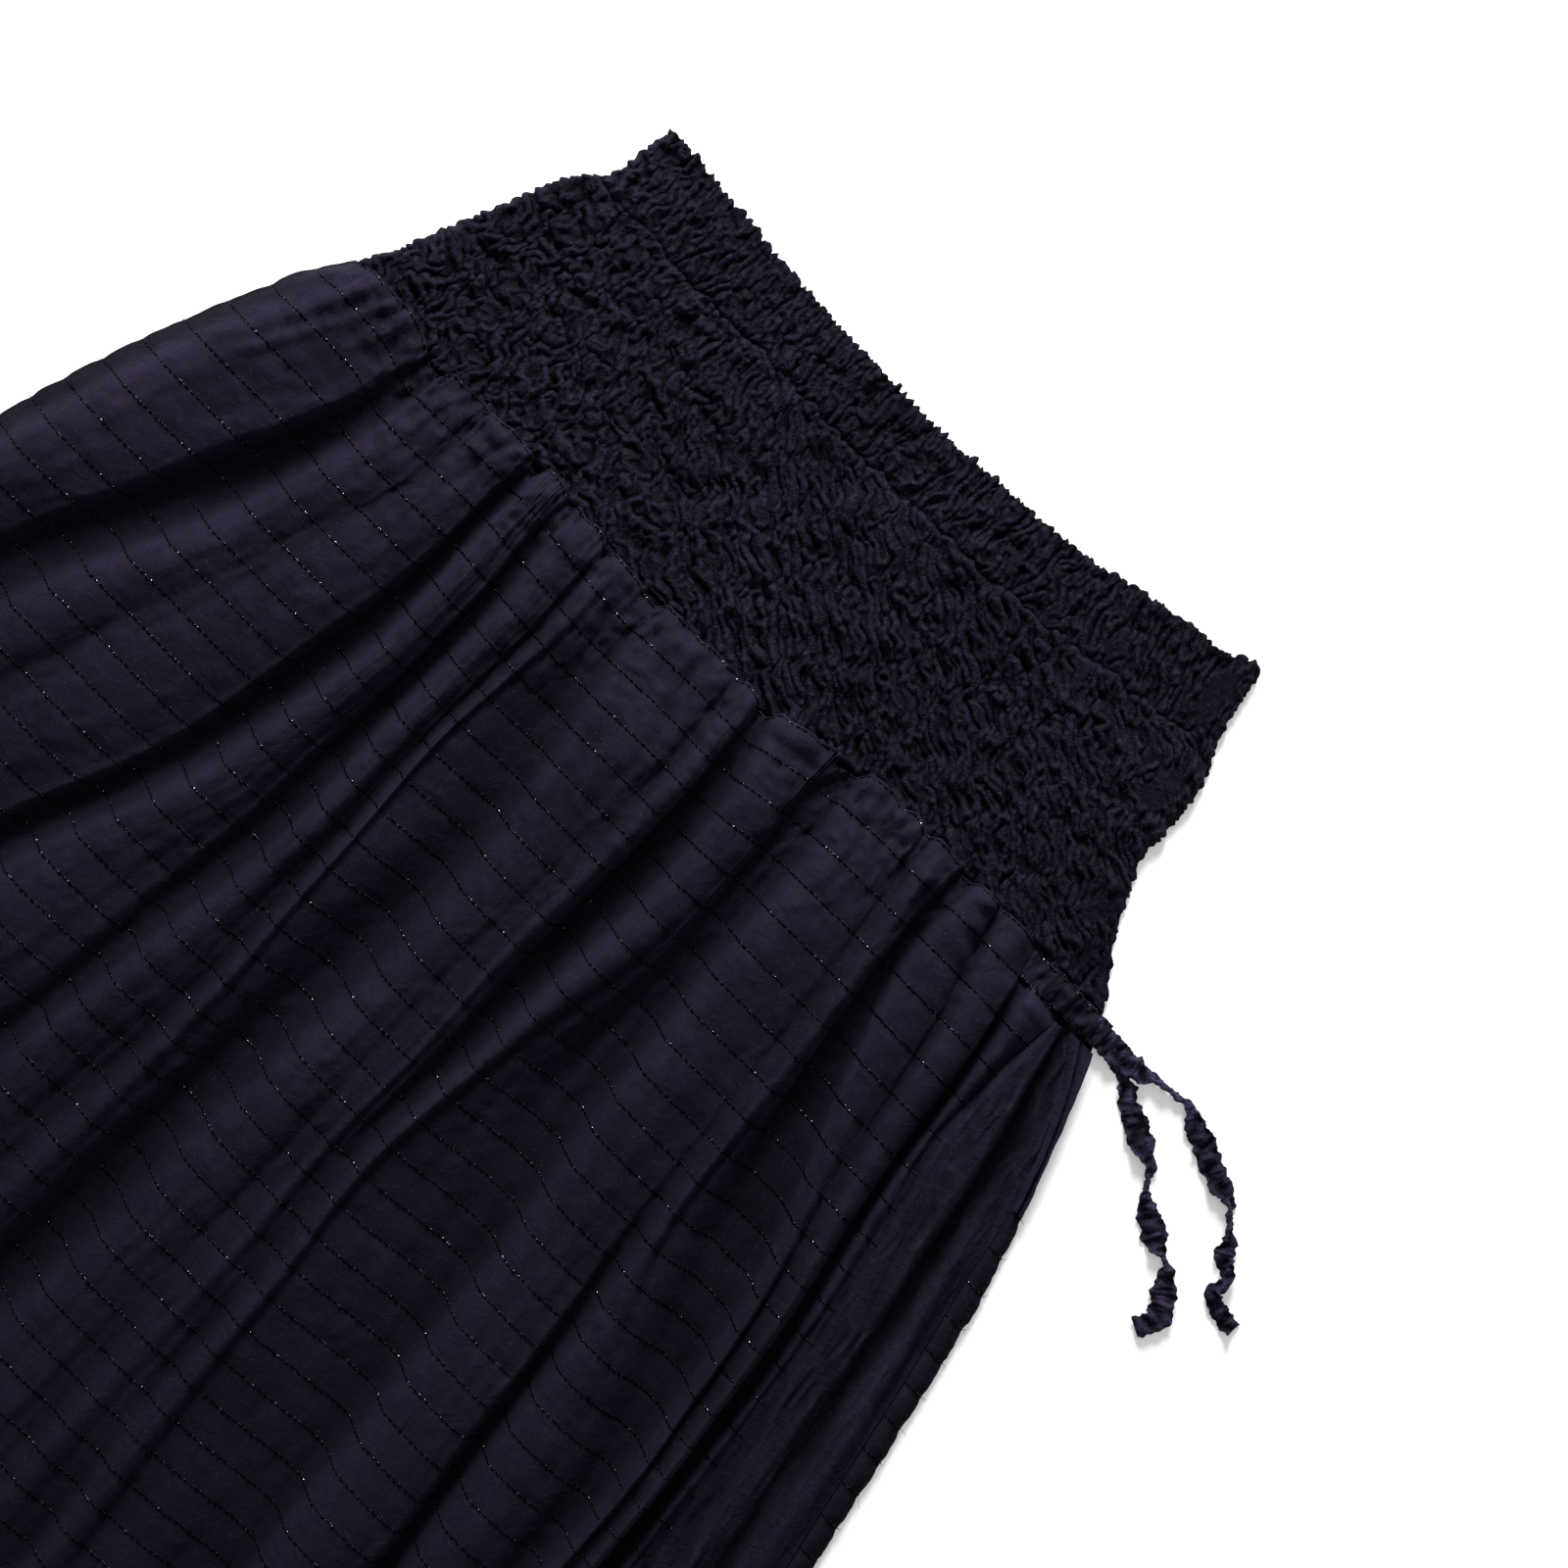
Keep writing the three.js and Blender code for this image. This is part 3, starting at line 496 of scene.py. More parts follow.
def creased(across, down, creases):
    """Soft ridges and troughs along straight stretches: each falls off with the square of the
    distance from its line and fades towards both of its ends."""
    relief = np.zeros(np.broadcast(across, down).shape)
    for crease in creases:
        start = np.array(crease["start"], float)
        run = np.array(crease["end"], float) - start
        length = np.hypot(*run)
        along = ((across - start[0]) * run[0] + (down - start[1]) * run[1]) / length**2
        nearest = np.clip(along, 0, 1)
        out = np.hypot(across - start[0] - nearest * run[0], down - start[1] - nearest * run[1])
        fade = smooth_step(along / 0.15 + 0.6) * smooth_step((1 - along) / 0.3 + 0.6)
        relief += crease["height"] * fade * np.exp(-((out / crease["width"]) ** 2))
    return relief


def flat_places(across, down):
    """Places on the flat cloth, across and down last."""
    return np.stack(np.broadcast_arrays(across, down), axis=-1)


def casing_corner():
    """Where the frame has the casing's start and top, which fixes the garment in the frame."""
    low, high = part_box("tie_casing")
    return low[0] / MM - CASING_START, high[1] / MM + CASING_TOP


ACROSS_SHIFT, DOWN_SHIFT = casing_corner()


def to_world(across, down, up):
    """Garment millimetres to the frame's metres, as an array with x, y, z last."""
    across, down, up = np.broadcast_arrays(across, down, up)
    places = (across + ACROSS_SHIFT, DOWN_SHIFT - down, up)
    return np.stack(places, axis=-1) * MM


# Meshes


def link_piece(name, mesh, material, nodes=()):
    """Puts a finished mesh in the scene as a piece of the root body."""
    piece = bpy.data.objects.new(name, mesh)
    bpy.context.scene.collection.objects.link(piece)
    mesh.materials.append(material)
    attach(piece, "root")
    if nodes:
        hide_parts(*nodes)
    return piece


def box_mean(grid, reach):
    """Mean over a square of cells around each cell, by running sums along both axes."""
    for axis in (0, 1):
        padding = [(0, 0), (0, 0)]
        padding[axis] = (reach + 1, reach)
        total = np.cumsum(np.pad(grid, padding, mode="edge"), axis=axis)
        ahead = np.take(total, np.arange(2 * reach + 1, total.shape[axis]), axis=axis)
        behind = np.take(total, np.arange(0, total.shape[axis] - 2 * reach - 1), axis=axis)
        grid = (ahead - behind) / (2 * reach + 1)
    return grid


def build_mesh(name, vertices, faces, cloth):
    """A mesh from arrays of places, four-cornered faces and places on the flat cloth."""
    mesh = bpy.data.meshes.new(name)
    mesh.vertices.add(len(vertices))
    mesh.vertices.foreach_set("co", np.ascontiguousarray(vertices, np.float32).ravel())
    mesh.loops.add(faces.size)
    mesh.loops.foreach_set("vertex_index", np.ascontiguousarray(faces, np.int32).ravel())
    mesh.polygons.add(len(faces))
    starts = np.arange(0, faces.size, faces.shape[1], dtype=np.int32)
    mesh.polygons.foreach_set("loop_start", starts)
    mesh.update(calc_edges=True)
    mesh.validate()
    mesh.shade_smooth()
    layer = mesh.uv_layers.new(name="cloth")
    places = np.asarray(cloth, np.float32)[faces.ravel()]
    layer.data.foreach_set("uv", np.ascontiguousarray(places).ravel())
    return mesh


def grid_faces(rows, columns, closed_across=False, faces_down=False):
    """Corners of each cell of a grid, turned to face up, or down where asked."""
    index = np.arange(rows * columns).reshape(rows, columns)
    if closed_across:
        index = np.hstack([index, index[:, :1]])
    here, below = index[:-1, :-1], index[1:, :-1]
    beyond, beside = index[1:, 1:], index[:-1, 1:]
    order = (here, beside, beyond, below) if faces_down else (here, below, beyond, beside)
    return np.stack(order, axis=-1).reshape(-1, 4)


def grid_mesh(name, points, cloth, reach=4, height=1.0, extra=0.0, **facing):
    """A sheet of cloth from a grid of places, rows down and columns across.

    Its relief, which the cotton turns into painted highlights on rises and painted shade in
    hollows, is how far each point stands above its surroundings: its up less the mean over a
    square of reach cells, by a height in millimetres, plus the painted light offset (painted
    light above 0, painted shade below 0), from -1 to 1.
    """
    faces = grid_faces(*points.shape[:2], **facing)
    mesh = build_mesh(name, points.reshape(-1, 3), faces, cloth.reshape(-1, 2) * MM)
    up = points[:, :, 2] / MM
    # relief for painted light and shade: lighter above the local mean, darker below it
    relief = np.clip((up - box_mean(up, reach)) / height, -1, 1)
    values = np.clip(relief + extra, -1, 1).astype(np.float32).ravel()
    mesh.attributes.new("relief", "FLOAT", "POINT").data.foreach_set("value", values)
    return mesh


def cloth_piece(name, points, cloth, cotton, slot, node, **looks):
    """A sheet of cloth as a linked piece that stands for one node."""
    return link_piece(name, grid_mesh(name, points, cloth, **looks), cotton, [node])


def turned_under(points, cloth, edge, depth, thickness=0.8, steps=4):
    """Adds rows at an edge of a grid (top, bottom, left or right) that turn the cloth under.

    The new rows follow a half circle of the cloth's thickness, outwards and down, and then run
    back under by the depth. Works in metres, with outwards taken level from the last two rows.
    """
    reverse = -1 if edge in ("top", "left") else 1
    sideways = edge in ("left", "right")
    grid, sheet = ((np.swapaxes(kind, 0, 1) if sideways else kind)[::reverse]
                   for kind in (points, cloth))
    out = grid[-1] - grid[-2]
    out[:, 2] = 0
    out /= np.maximum(np.linalg.norm(out, axis=1, keepdims=True), 1e-9)
    down = np.array([0.0, 0.0, -1.0])
    radius = thickness * MM / 2
    cloth_out = sheet[-1] - sheet[-2]
    cloth_out /= np.maximum(np.linalg.norm(cloth_out, axis=1, keepdims=True), 1e-9)
    new_points, new_cloth = [], []
    for angle in np.linspace(0, math.pi, steps)[1:]:
        turn = out * (radius * math.sin(angle)) + down * (radius * (1 - math.cos(angle)))
        new_points.append(grid[-1] + turn)
        new_cloth.append(sheet[-1] + cloth_out * (angle * thickness / 2))
    new_points.append(new_points[-1] - out * (depth * MM))
    new_cloth.append(new_cloth[-1] + cloth_out * depth)
    grid = np.concatenate([grid, np.stack(new_points)])
    sheet = np.concatenate([sheet, np.stack(new_cloth)])
    grid[..., 2] = np.maximum(grid[..., 2], REST_UP * MM)
    grid, sheet = (kind[::reverse] for kind in (grid, sheet))
    return (np.swapaxes(grid, 0, 1), np.swapaxes(sheet, 0, 1)) if sideways else (grid, sheet)


def tube_mesh(name, paths, radius, sides=3):
    """Thin tubes along many paths, joined in one mesh.

    Each path is an array of places in metres. Its rings stand square to the path, made from
    the path's level normal and the direction square to both.
    """
    vertices, faces, cloth, start = [], [], [], 0
    angles = np.arange(sides) * (2 * math.pi / sides)
    for path in paths:
        along = np.gradient(path, axis=0)
        along /= np.maximum(np.linalg.norm(along, axis=1, keepdims=True), 1e-12)
        level = np.cross(along, np.array([0.0, 0.0, 1.0]))
        level /= np.maximum(np.linalg.norm(level, axis=1, keepdims=True), 1e-6)
        above = np.cross(level, along)
        ring = np.cos(angles)[None, :, None] * level[:, None]
        ring = ring + np.sin(angles)[None, :, None] * above[:, None]
        vertices.append((path[:, None] + ring * (radius * MM)).reshape(-1, 3))
        faces.append(grid_faces(len(path), sides, closed_across=True) + start)
        places = np.arange(len(path))[:, None] * np.ones(sides)
        cloth.append(np.stack([places, np.ones_like(places) * start], axis=-1).reshape(-1, 2))
        start += len(path) * sides
    return build_mesh(name, *(np.concatenate(parts) for parts in (vertices, faces)),
                      np.concatenate(cloth) * MM)


def close_ends(mesh, rings, sides):
    """Closes both ends of a tube with one face each."""
    work = bmesh.new()
    work.from_mesh(mesh)
    work.verts.ensure_lookup_table()
    work.faces.new([work.verts[index] for index in range(sides)])
    start = (rings - 1) * sides
    work.faces.new([work.verts[start + index] for index in reversed(range(sides))])
    bmesh.ops.recalc_face_normals(work, faces=work.faces)
    work.to_mesh(mesh)
    work.free()


# Shapes of the pieces


def row_downs(*spans):
    """Nominal downs of a grid's rows, in spans that follow each other: start, end and count."""
    first, *others = (np.linspace(*span) for span in spans)
    return np.concatenate([first, *(span[1:] for span in others)])


def section_down(nominal, across):
    """Down of a section's point: the seam's curve fades out below it and the hem's comes in."""
    from_seam = 1 - smooth_step((nominal - SEAM_DOWN) / SEAM_FADE)
    to_hem = smooth_step((nominal - HEM_FADE_START) / (SKIRT_LENGTH - HEM_FADE_START))
    rise = HEM_RISE * (across / HEM_HALF_WIDTH) ** 2
    return nominal + (seam_line(across) + SEAM_GAP - SEAM_DOWN) * from_seam - rise * to_hem


def section_edge(edge, nominal):
    """Across of an edge where the section meets it, found in a few passes."""
    across = edge(nominal)
    for _ in range(3):
        across = edge(section_down(nominal, across))
    return across


def place_on(share_across, share_down, left, right, top, bottom):
    """Place by shares between two side edges and two lines across, found in a few passes."""
    down = (top(0.0) + bottom(0.0)) / 2 + 0 * share_across * share_down
    for _ in range(4):
        across = mix(left(down), right(down), share_across)
        down = mix(top(across), bottom(across), share_down)
    return across, down


def at_sides(share, from_side, reach):
    """-1 at the left side and 1 at the right one, fading to 0 at the reach inwards."""
    return np.where(share < 0.5, -1, 1) * near(from_side, reach)


def fold_read(fold, name, nominal):
    """One size of a valley at a nominal down."""
    return curve_at(FOLD_DOWNS, fold[name], nominal)


def fold_share(across, nominal):
    """Share of the fold height left at a place: each valley takes its depth out of it."""
    share = np.ones(np.broadcast(across, nominal).shape)
    for fold in FOLDS:
        offset = across - fold_read(fold, "at", nominal)
        steep, floor, easy = (fold_read(fold, name, nominal) for name in ("steep", "floor", "easy"))
        out = np.where(offset < 0, -offset / steep, np.maximum(offset - floor, 0) / easy)
        share = share * (1 - fold_read(fold, "depth", nominal) * (1 - smooth_step(out)))
    return share


def fold_columns(nominal, left, right):
    """Across of the grid's columns, which follow the folds down the panel, and their tilts.

    Columns stand evenly between the ends of the valleys' walls and floors, as many as the mean
    width asks for. Tilts raise a ridge's left shoulder, lower its right one and round its top
    by CROWN times the sine of half a turn of its share; they run straight through the valleys.
    """
    knots, levels, crowns = [left], [0.0], []
    slants = [fold["tilt"] for fold in FOLDS] + [0.1]
    for fold, slant, following in zip(FOLDS, slants, slants[1:]):
        middle, steep, easy = (fold_read(fold, name, nominal) for name in ("at", "steep", "easy"))
        foot = middle + np.maximum(fold_read(fold, "floor", nominal), 0)
        knots += [middle - steep, middle - VALLEY_FLOOR * steep]
        knots += [foot + VALLEY_FLOOR * easy, foot + easy]
        levels += np.linspace(-0.5 * slant - 0.096, 0.5 * following - 0.096, 4).tolist()
        crowns += [CROWN, 0, 0, 0]
    knots = np.stack([*knots, right], axis=1)
    levels.append(-0.15)
    crowns.append(CROWN)
    widths = np.diff(knots, axis=1)
    if widths.min() < 0.4:
        low = np.unravel_index(widths.argmin(), widths.shape)
        raise RuntimeError(f"Folds overlap at down {nominal[low[0]]:.0f}, knot {low[1]}")
    counts = np.maximum(3, np.round(widths.mean(axis=0) / COLUMN_STEP)).astype(int)
    places = np.concatenate([[0], np.cumsum(counts)])
    columns = np.arange(places[-1] + 1)
    across = np.stack([np.interp(columns, places, row) for row in knots])
    part = np.clip(np.searchsorted(places, columns, side="right") - 1, 0, len(counts) - 1)
    share = (columns - places[part]) / counts[part]
    tilts = np.interp(columns, places, levels) + np.array(crowns)[part] * np.sin(math.pi * share)
    return across, tilts


def thread_downs(pitch):
    """Nominal downs of the threads: one on the seam, one under the casing, then even."""
    even = np.arange(SEAM_DOWN + FIRST_THREAD, SKIRT_LENGTH - LAST_THREAD, pitch)
    return np.concatenate([[SEAM_DOWN + SEAM_THREAD], even])


def from_thread(nominal, pitch):
    """Distance to the nearest thread, from 0 on it to half the pitch."""
    phase = (nominal - SEAM_DOWN - FIRST_THREAD) / pitch
    return np.abs(phase - np.round(phase)) * pitch


def front_relief(across, flat_across, rows, share, near_casing, pitch):
    """What is finer than the front panel's folds, in millimetres up.

    The sum of gathers and fold heads that fade out below the seam, long wrinkles that are lower
    where the cloth is bunched, narrow crumples, dents, puffs between the threads, the cloth
    drawn in along them, and crushed puffs close to the seam.
    """
    below_seam = rows - SEAM_DOWN
    close = from_thread(rows, pitch)
    bend = layered(across, rows, (3.5, 14, 16, 4), (1.2, 5, 8, 5))
    gather = puffed((flat_across + 1.6 * bend) / 12, rows / 48, 31, 0.6)
    gather = gather * (3.0 * np.exp(-below_seam / 22) + 0.7 * np.exp(-below_seam / 70) + 0.2)
    gather = gather * (1 + 0.5 * smooth_step((across - TIE_SIDE) / 25))
    pillow = 0.9 * share * smooth_step(below_seam / 4 + 0.25) * np.exp(-below_seam / 20)
    wrinkle = layered(flat_across + bend, rows, (0.8, 9, 75, 32), (1.7, 26, 95, 33))
    bunched = np.gradient(across, axis=1) / np.gradient(flat_across, axis=1)
    wrinkle = wrinkle * np.clip(bunched / 0.5, 0.3, 1)
    crumple = lined((across + bend) / 11 + rows / 60, rows / 19, 34)
    somewhere = soft_noise(across / 26, rows / 24, 35) * 1.6 + 1.2 * np.exp(-below_seam / 40)
    crumple = crumple * smooth_step(somewhere)
    dent = layered(across + 2 * bend, rows, (0.8, 7, 9, 39)) * (0.4 + 2.5 * np.exp(-below_seam / 26))
    puff = 0.45 * smooth_step(close / (0.42 * pitch)) ** 0.45
    drawn = layered(flat_across, rows, (0.55, 2.6, 6, 36)) * np.exp(-close / 2.6)
    bent = across + layered(across, rows, (2.2, 8, 9, 131))
    crushed = 2.3 * puffed(bent / 8 + rows / 45, (rows + bend) / 11, 132, 0.6)
    crushed = crushed + puffed(bent / 4.5, rows / 6, 133, 0.7)
    crushed = crushed * (np.exp(-below_seam / 19) + 0.16)
    fine = wrinkle + 0.7 * crumple + dent + puff + drawn + crushed
    return (gather + pillow) * (1 - near_casing) + fine * mix(1, 0.4, near_casing)


@lru_cache(maxsize=None)
def front_panel_surface(fold_lift, pitch):
    """The front panel's outer face: places, places on the flat cloth and nominal downs.

    Height is the layers' thickness plus the fold height times the share that the valleys leave,
    plus the relief and the listed creases, rounded off at the left side. Ridges lean to
    the right and sag down the skirt by their share, and their heads reach up over the seam.
    """
    nominal = row_downs((SEAM_DOWN, 200, 40), (200, 460, 140), (460, SKIRT_LENGTH, 80))
    left = section_edge(left_edge, nominal)
    right = section_edge(front_edge, nominal)
    across, tilt = fold_columns(nominal, left, right)
    rows = nominal[:, None]
    width = np.cumsum(np.abs(np.diff(across[-1], prepend=across[-1, 0])))
    flat_across = (width / width[-1] * FRONT_CUT[0])[None, :] + 0 * rows
    share = fold_share(across, rows)
    from_left = across - left[:, None]
    from_right = right[:, None] - across
    right_taper = mix(FRONT_EDGE_SHARE, 1, smooth_step(from_right / EDGE_TAPER))
    by_casing = smooth_step((across - CASING_COVER) / 10)
    pressed = 1 - 0.45 * by_casing * (1 - smooth_step((rows - 152) / 16))
    lift = fold_height(rows) * share * (smooth_step(from_left / EDGE_TAPER) * right_taper)
    lift = lift * fold_lift * (1 + tilt) * pressed
    near_casing = by_casing * (1 - smooth_step((rows - 158) / 8))
    relief = front_relief(across, flat_across, rows, share, near_casing, pitch)
    true_down = section_down(rows, across)
    up = PANEL_UP + lift + relief * smooth_step(from_left / 5 + 0.2)
    up = up + creased(across, true_down, FRONT_CREASES)
    up = np.maximum(up - (up - SIDE_FOLD_UP) * (1 - rounded(from_left, 5)), SIDE_FOLD_UP)

    inner = smooth_step(from_left / 20) * smooth_step(from_right / 14)
    wobble = layered(across, rows, (2.0, 45, 70, 37)) * inner * smooth_step((rows - SEAM_DOWN) / 30)
    lean = 3.4 * share * smooth_step((rows - 152) / 40) * inner
    lean = lean * (1 - 0.5 * smooth_step((rows - 500) / 200))
    scallop = 0.5 * smooth_step(from_thread(rows, pitch) / 4) * near(from_left, 8)
    ends = 1.2 * soft_noise(rows / 26, rows / 9 + 3, 38) * near(from_left, 12)
    sag = 3.0 * (share - 0.6) * smooth_step((rows - 170) / 170)
    sag = sag * mix(1, 0.5, smooth_step((rows - 600) / 200)) * inner
    head = (5.2 + layered(across, rows, (3.0, 8, 60, 134))) * (share - 0.42)
    head = head * np.exp(-(rows - SEAM_DOWN) / 7) * (1 - near_casing) * inner
    head = head * (1 - 0.65 * smooth_step((across - TIE_SIDE) / 25))
    points = to_world(across + wobble + lean - scallop + ends * 0.5, true_down + sag - head, up)
    return points, flat_places(flat_across, rows), nominal


def row_at(points, nominal, down):
    """The surface's row at a nominal down, mixed from the two rows next to it."""
    after = int(np.clip(np.searchsorted(nominal, down), 1, len(nominal) - 1))
    share = (down - nominal[after - 1]) / (nominal[after] - nominal[after - 1])
    return mix(points[after - 1], points[after], np.clip(share, 0, 1))


def woven_path(path, spacing, float_up, dip, seed, facing=1):
    """A thread woven through the cloth, its points at even steps along it: of every three
    steps two lie over the cloth and one dips in."""
    steps = np.linalg.norm(np.diff(path, axis=0), axis=1)
    travelled = np.concatenate([[0], np.cumsum(steps)])
    wanted = np.arange(0, travelled[-1], spacing * MM)
    path = np.stack([np.interp(wanted, travelled, path[:, axis]) for axis in range(3)], axis=1)
    random = np.random.default_rng(seed)
    step = np.arange(len(path)) + random.integers(0, 3)
    up = np.where(step % 3 == 0, -dip, float_up) + random.normal(0, 0.05, len(path))
    path[:, 2] += facing * up * MM
    path[:, 1] += random.normal(0, 0.12, len(path)) * MM
    return path


@lru_cache(maxsize=None)
def gore_surface():
    """The side gore's outer face: a shelf by the panel's seam, a hollow and an outer ridge.

    Its height eases from one of the section's heights to the next, with soft slanting wrinkles,
    narrow ones and the listed creases on top.
    """
    nominal = row_downs((GORE_TOP, 330, 120), (330, SKIRT_LENGTH, 110))
    share = np.linspace(0, 1, 70)[None, :]
    rows = nominal[:, None]
    start = section_edge(front_edge, nominal)[:, None] + 0.1
    end = section_edge(gore_edge, nominal)[:, None]
    across = mix(start, end, share)
    shelf, hollow, hollow_at, fall, ridge, edge = (
        table_curve(GORE_SECTIONS, "down", name)(rows)
        for name in ("shelf", "hollow", "hollow_at", "fall", "ridge", "edge"))
    places = [0 * rows, 0.12 + 0 * rows, hollow_at - fall, hollow_at]
    places += [(hollow_at + 1) / 2 + 0.02, 1 + 0 * rows]
    heights = [fold_height(rows) * FRONT_EDGE_SHARE, shelf, shelf, hollow, ridge, edge]
    lift = 0 * across
    for index in range(5):
        span = (share - places[index]) / (places[index + 1] - places[index])
        here = (span >= 0) & (span <= 1)
        lift = np.where(here, mix(heights[index], heights[index + 1], smooth_step(span)), lift)
    true_down = section_down(rows, across)
    inner = smooth_step(share / 0.06) * smooth_step((1 - share) / 0.06)
    slant = across - true_down * 0.32 + layered(across, true_down, (3.0, 9, 17, 40))
    wrinkle = layered(slant, true_down, (1.5, 7, 44, 41), (1.0, 3.6, 26, 42))
    wrinkle = wrinkle + 0.8 * lined(slant / 9, true_down / 30, 43)
    up = PANEL_UP + lift + inner * wrinkle
    up = up + inner * creased(across, true_down, GORE_CREASES)
    return to_world(across, true_down, up), flat_places(share * GORE_CUT[0], rows), nominal


@lru_cache(maxsize=None)
def turned_edge_surface(pitch):
    """The back panel's edge from its seam with the gore, over the side fold and under it.

    TURN gives the shares across and the heights of its section. The edge is scalloped between
    the threads and roughened by noise.
    """
    nominal = row_downs((EDGE_TOP, 420, 130), (420, SKIRT_LENGTH, 110))
    rows = nominal[:, None]
    turn, bulge = (np.array([row[name] for row in TURN], float)[None, :] for name in ("share", "up"))
    start = section_edge(gore_edge, nominal)[:, None] - 0.2
    end = section_edge(right_edge, nominal)[:, None]
    close = from_thread(rows, pitch)
    rough = 0.7 * smooth_step(close / 4.5) - 0.4
    rough = rough + layered(rows, rows, (0.35, 3.1, 17, 44), (0.5, 14, 40, 45))
    across = mix(start, end, turn) + rough * turn
    open_up = smooth_step((rows - 204) / 42)
    up = np.where(bulge > 0, PANEL_UP + bulge * open_up, PANEL_UP + bulge * 0.92)
    wrinkle = layered(across, rows, (0.4, 4, 11, 46)) + 0.35 * smooth_step(close / 5)
    up = np.maximum(up + wrinkle * (bulge > 0.5), REST_UP)
    flat_across = np.cumsum(np.abs(np.diff(turn, prepend=0)))[None, :] * 16
    points = to_world(across, section_down(rows, across), up)
    return points, flat_places(flat_across, rows), nominal


@lru_cache(maxsize=None)
def back_panel_surface():
    """The back panel, flat on the surface, with faint pressed wrinkles and turned side edges."""
    nominal = row_downs((SEAM_DOWN, 460, 110), (460, SKIRT_LENGTH, 70))
    rows = nominal[:, None]
    share = np.linspace(0, 1, 150)[None, :]
    left = section_edge(left_edge, nominal)[:, None] + 0.8
    right = section_edge(right_edge, nominal)[:, None] - 0.3
    across = mix(left, right, share)
    flat_across = share * BACK_CUT[0]
    pressed = layered(flat_across, rows, (0.25, 17, 60, 51), (0.2, 6, 25, 52))
    up = REST_UP + 0.35 + np.clip(pressed, -0.3, 0.5)
    hem = 2.0 * smooth_step((rows - 600) / (SKIRT_LENGTH - 600))
    points = to_world(across, section_down(rows, across) + hem, up)
    return points, flat_places(flat_across, rows), nominal


def stitches(across):
    """The stitched line between heading and yoke, pulled about by the puffs beside it."""
    return stitched_line(across) + layered(across, across, (2.2, 9, 90, 68), (1.2, 4, 90, 69))


def pad_share(across, down):
    """1 on the smooth pads and 0 off them: each is an oval whose halves are raised to the third
    power, turned, with a soft border."""
    share = np.zeros(across.shape)
    for pad in PADS:
        turn = math.radians(pad["turn"])
        out_across = across - pad["across"]
        out_down = down - pad["down"]
        along = out_across * math.cos(turn) - out_down * math.sin(turn)
        beside = out_across * math.sin(turn) + out_down * math.cos(turn)
        out = (np.abs(along) / pad["half_width"]) ** 3 + (np.abs(beside) / pad["half_length"]) ** 3
        share = np.maximum(share, 1 - smooth_step((out ** (1 / 3) - 0.75) / 0.35))
    return share


def smocking(across, down, seed=0):
    """Crumpled puffs, about 0 to 5: round puffs with sharp creases, crests and thin crests, all
    long and narrow on a place bent by slow noises and slanted more towards the tie side, and
    slow lumps."""
    slant = 0.1 + 0.8 * smooth_step((across + 130) / 130)
    bend_across, bend_down = (
        layered(across, down, (5.0, 15, 15, seed + first), (1.9, 5, 5, seed + first + 1))
        for first in (11, 13))
    bent_across = across + bend_across - slant * (down - 90)
    bent_down = down + bend_down
    puffs = puffed(bent_across / 6.2, bent_down / 12, seed + 15, 0.7)
    crests = crested(bent_across / 5.2 + 9, bent_down / 11, seed + 18)
    thin = crested(bent_across / 3.6 + 4, bent_down / 7, seed + 16)
    lumps = soft_noise(across / 12, down / 13, seed + 17)
    return 1.8 * puffs + 1.6 * crests + 0.8 * thin + 1.3 * lumps + 0.4


def puff_out(across, down, height, push):
    """Moves points downhill by push times the slope, so that puffs bulge over their creases."""
    moved = []
    for place, slope, axis in zip((down, across), np.gradient(height), (0, 1)):
        step = np.maximum(np.abs(np.gradient(place, axis=axis)), 0.1)
        moved.append(place + np.clip(-push * slope / step, -0.55, 0.55))
    return moved[1], moved[0]


@lru_cache(maxsize=None)
def front_yoke_surface(puff_height):
    """The smocked front yoke: puffs over a slab rounded off at its sides, seam and heading."""
    ends = np.array([0, 0.0003, 0.0012, 0.0028, 0.005])
    share = np.concatenate([ends, np.linspace(0.0065, 0.9935, 650), 1 - ends[::-1]])[None, :]
    rows = np.linspace(0, 1, 138)[:, None]
    across, down = place_on(
        share, rows, left_edge, front_edge, lambda place: stitches(place) - 0.6,
        lambda place: seam_line(place) + 0.8 + layered(place, place, (1.1, 7, 90, 66)))
    smooth_pad = 2.2 + layered(across, down, (0.4, 5, 7, 61))
    relief = mix(smocking(across, down), smooth_pad, 0.8 * pad_share(across, down))
    from_side = np.minimum(share, 1 - share) * (front_edge(down) - left_edge(down))
    depth = seam_line(across) - stitched_line(across)
    edges = smooth_step(rows * depth / 2.5 + 0.4) * smooth_step((1 - rows) * depth / 3 + 0.3)
    body = YOKE_UP + puff_height * relief * edges
    up = mix(YOKE_SIDE_UP, body, rounded(from_side, 4.5))
    moved_across, moved_down = puff_out(across, down, up, 0.32)
    crinkle = 2.2 * puffed(down / 3.4, across / 400, 62, 0.8)
    crinkle = crinkle + layered(down, across, (1.1, 9, 300, 63)) - 1.3
    moved_across = moved_across + at_sides(share, from_side, 6) * crinkle
    cloth = flat_places(share * YOKE_CUT[0], rows * YOKE_CUT[1])
    return to_world(moved_across, moved_down, up), cloth


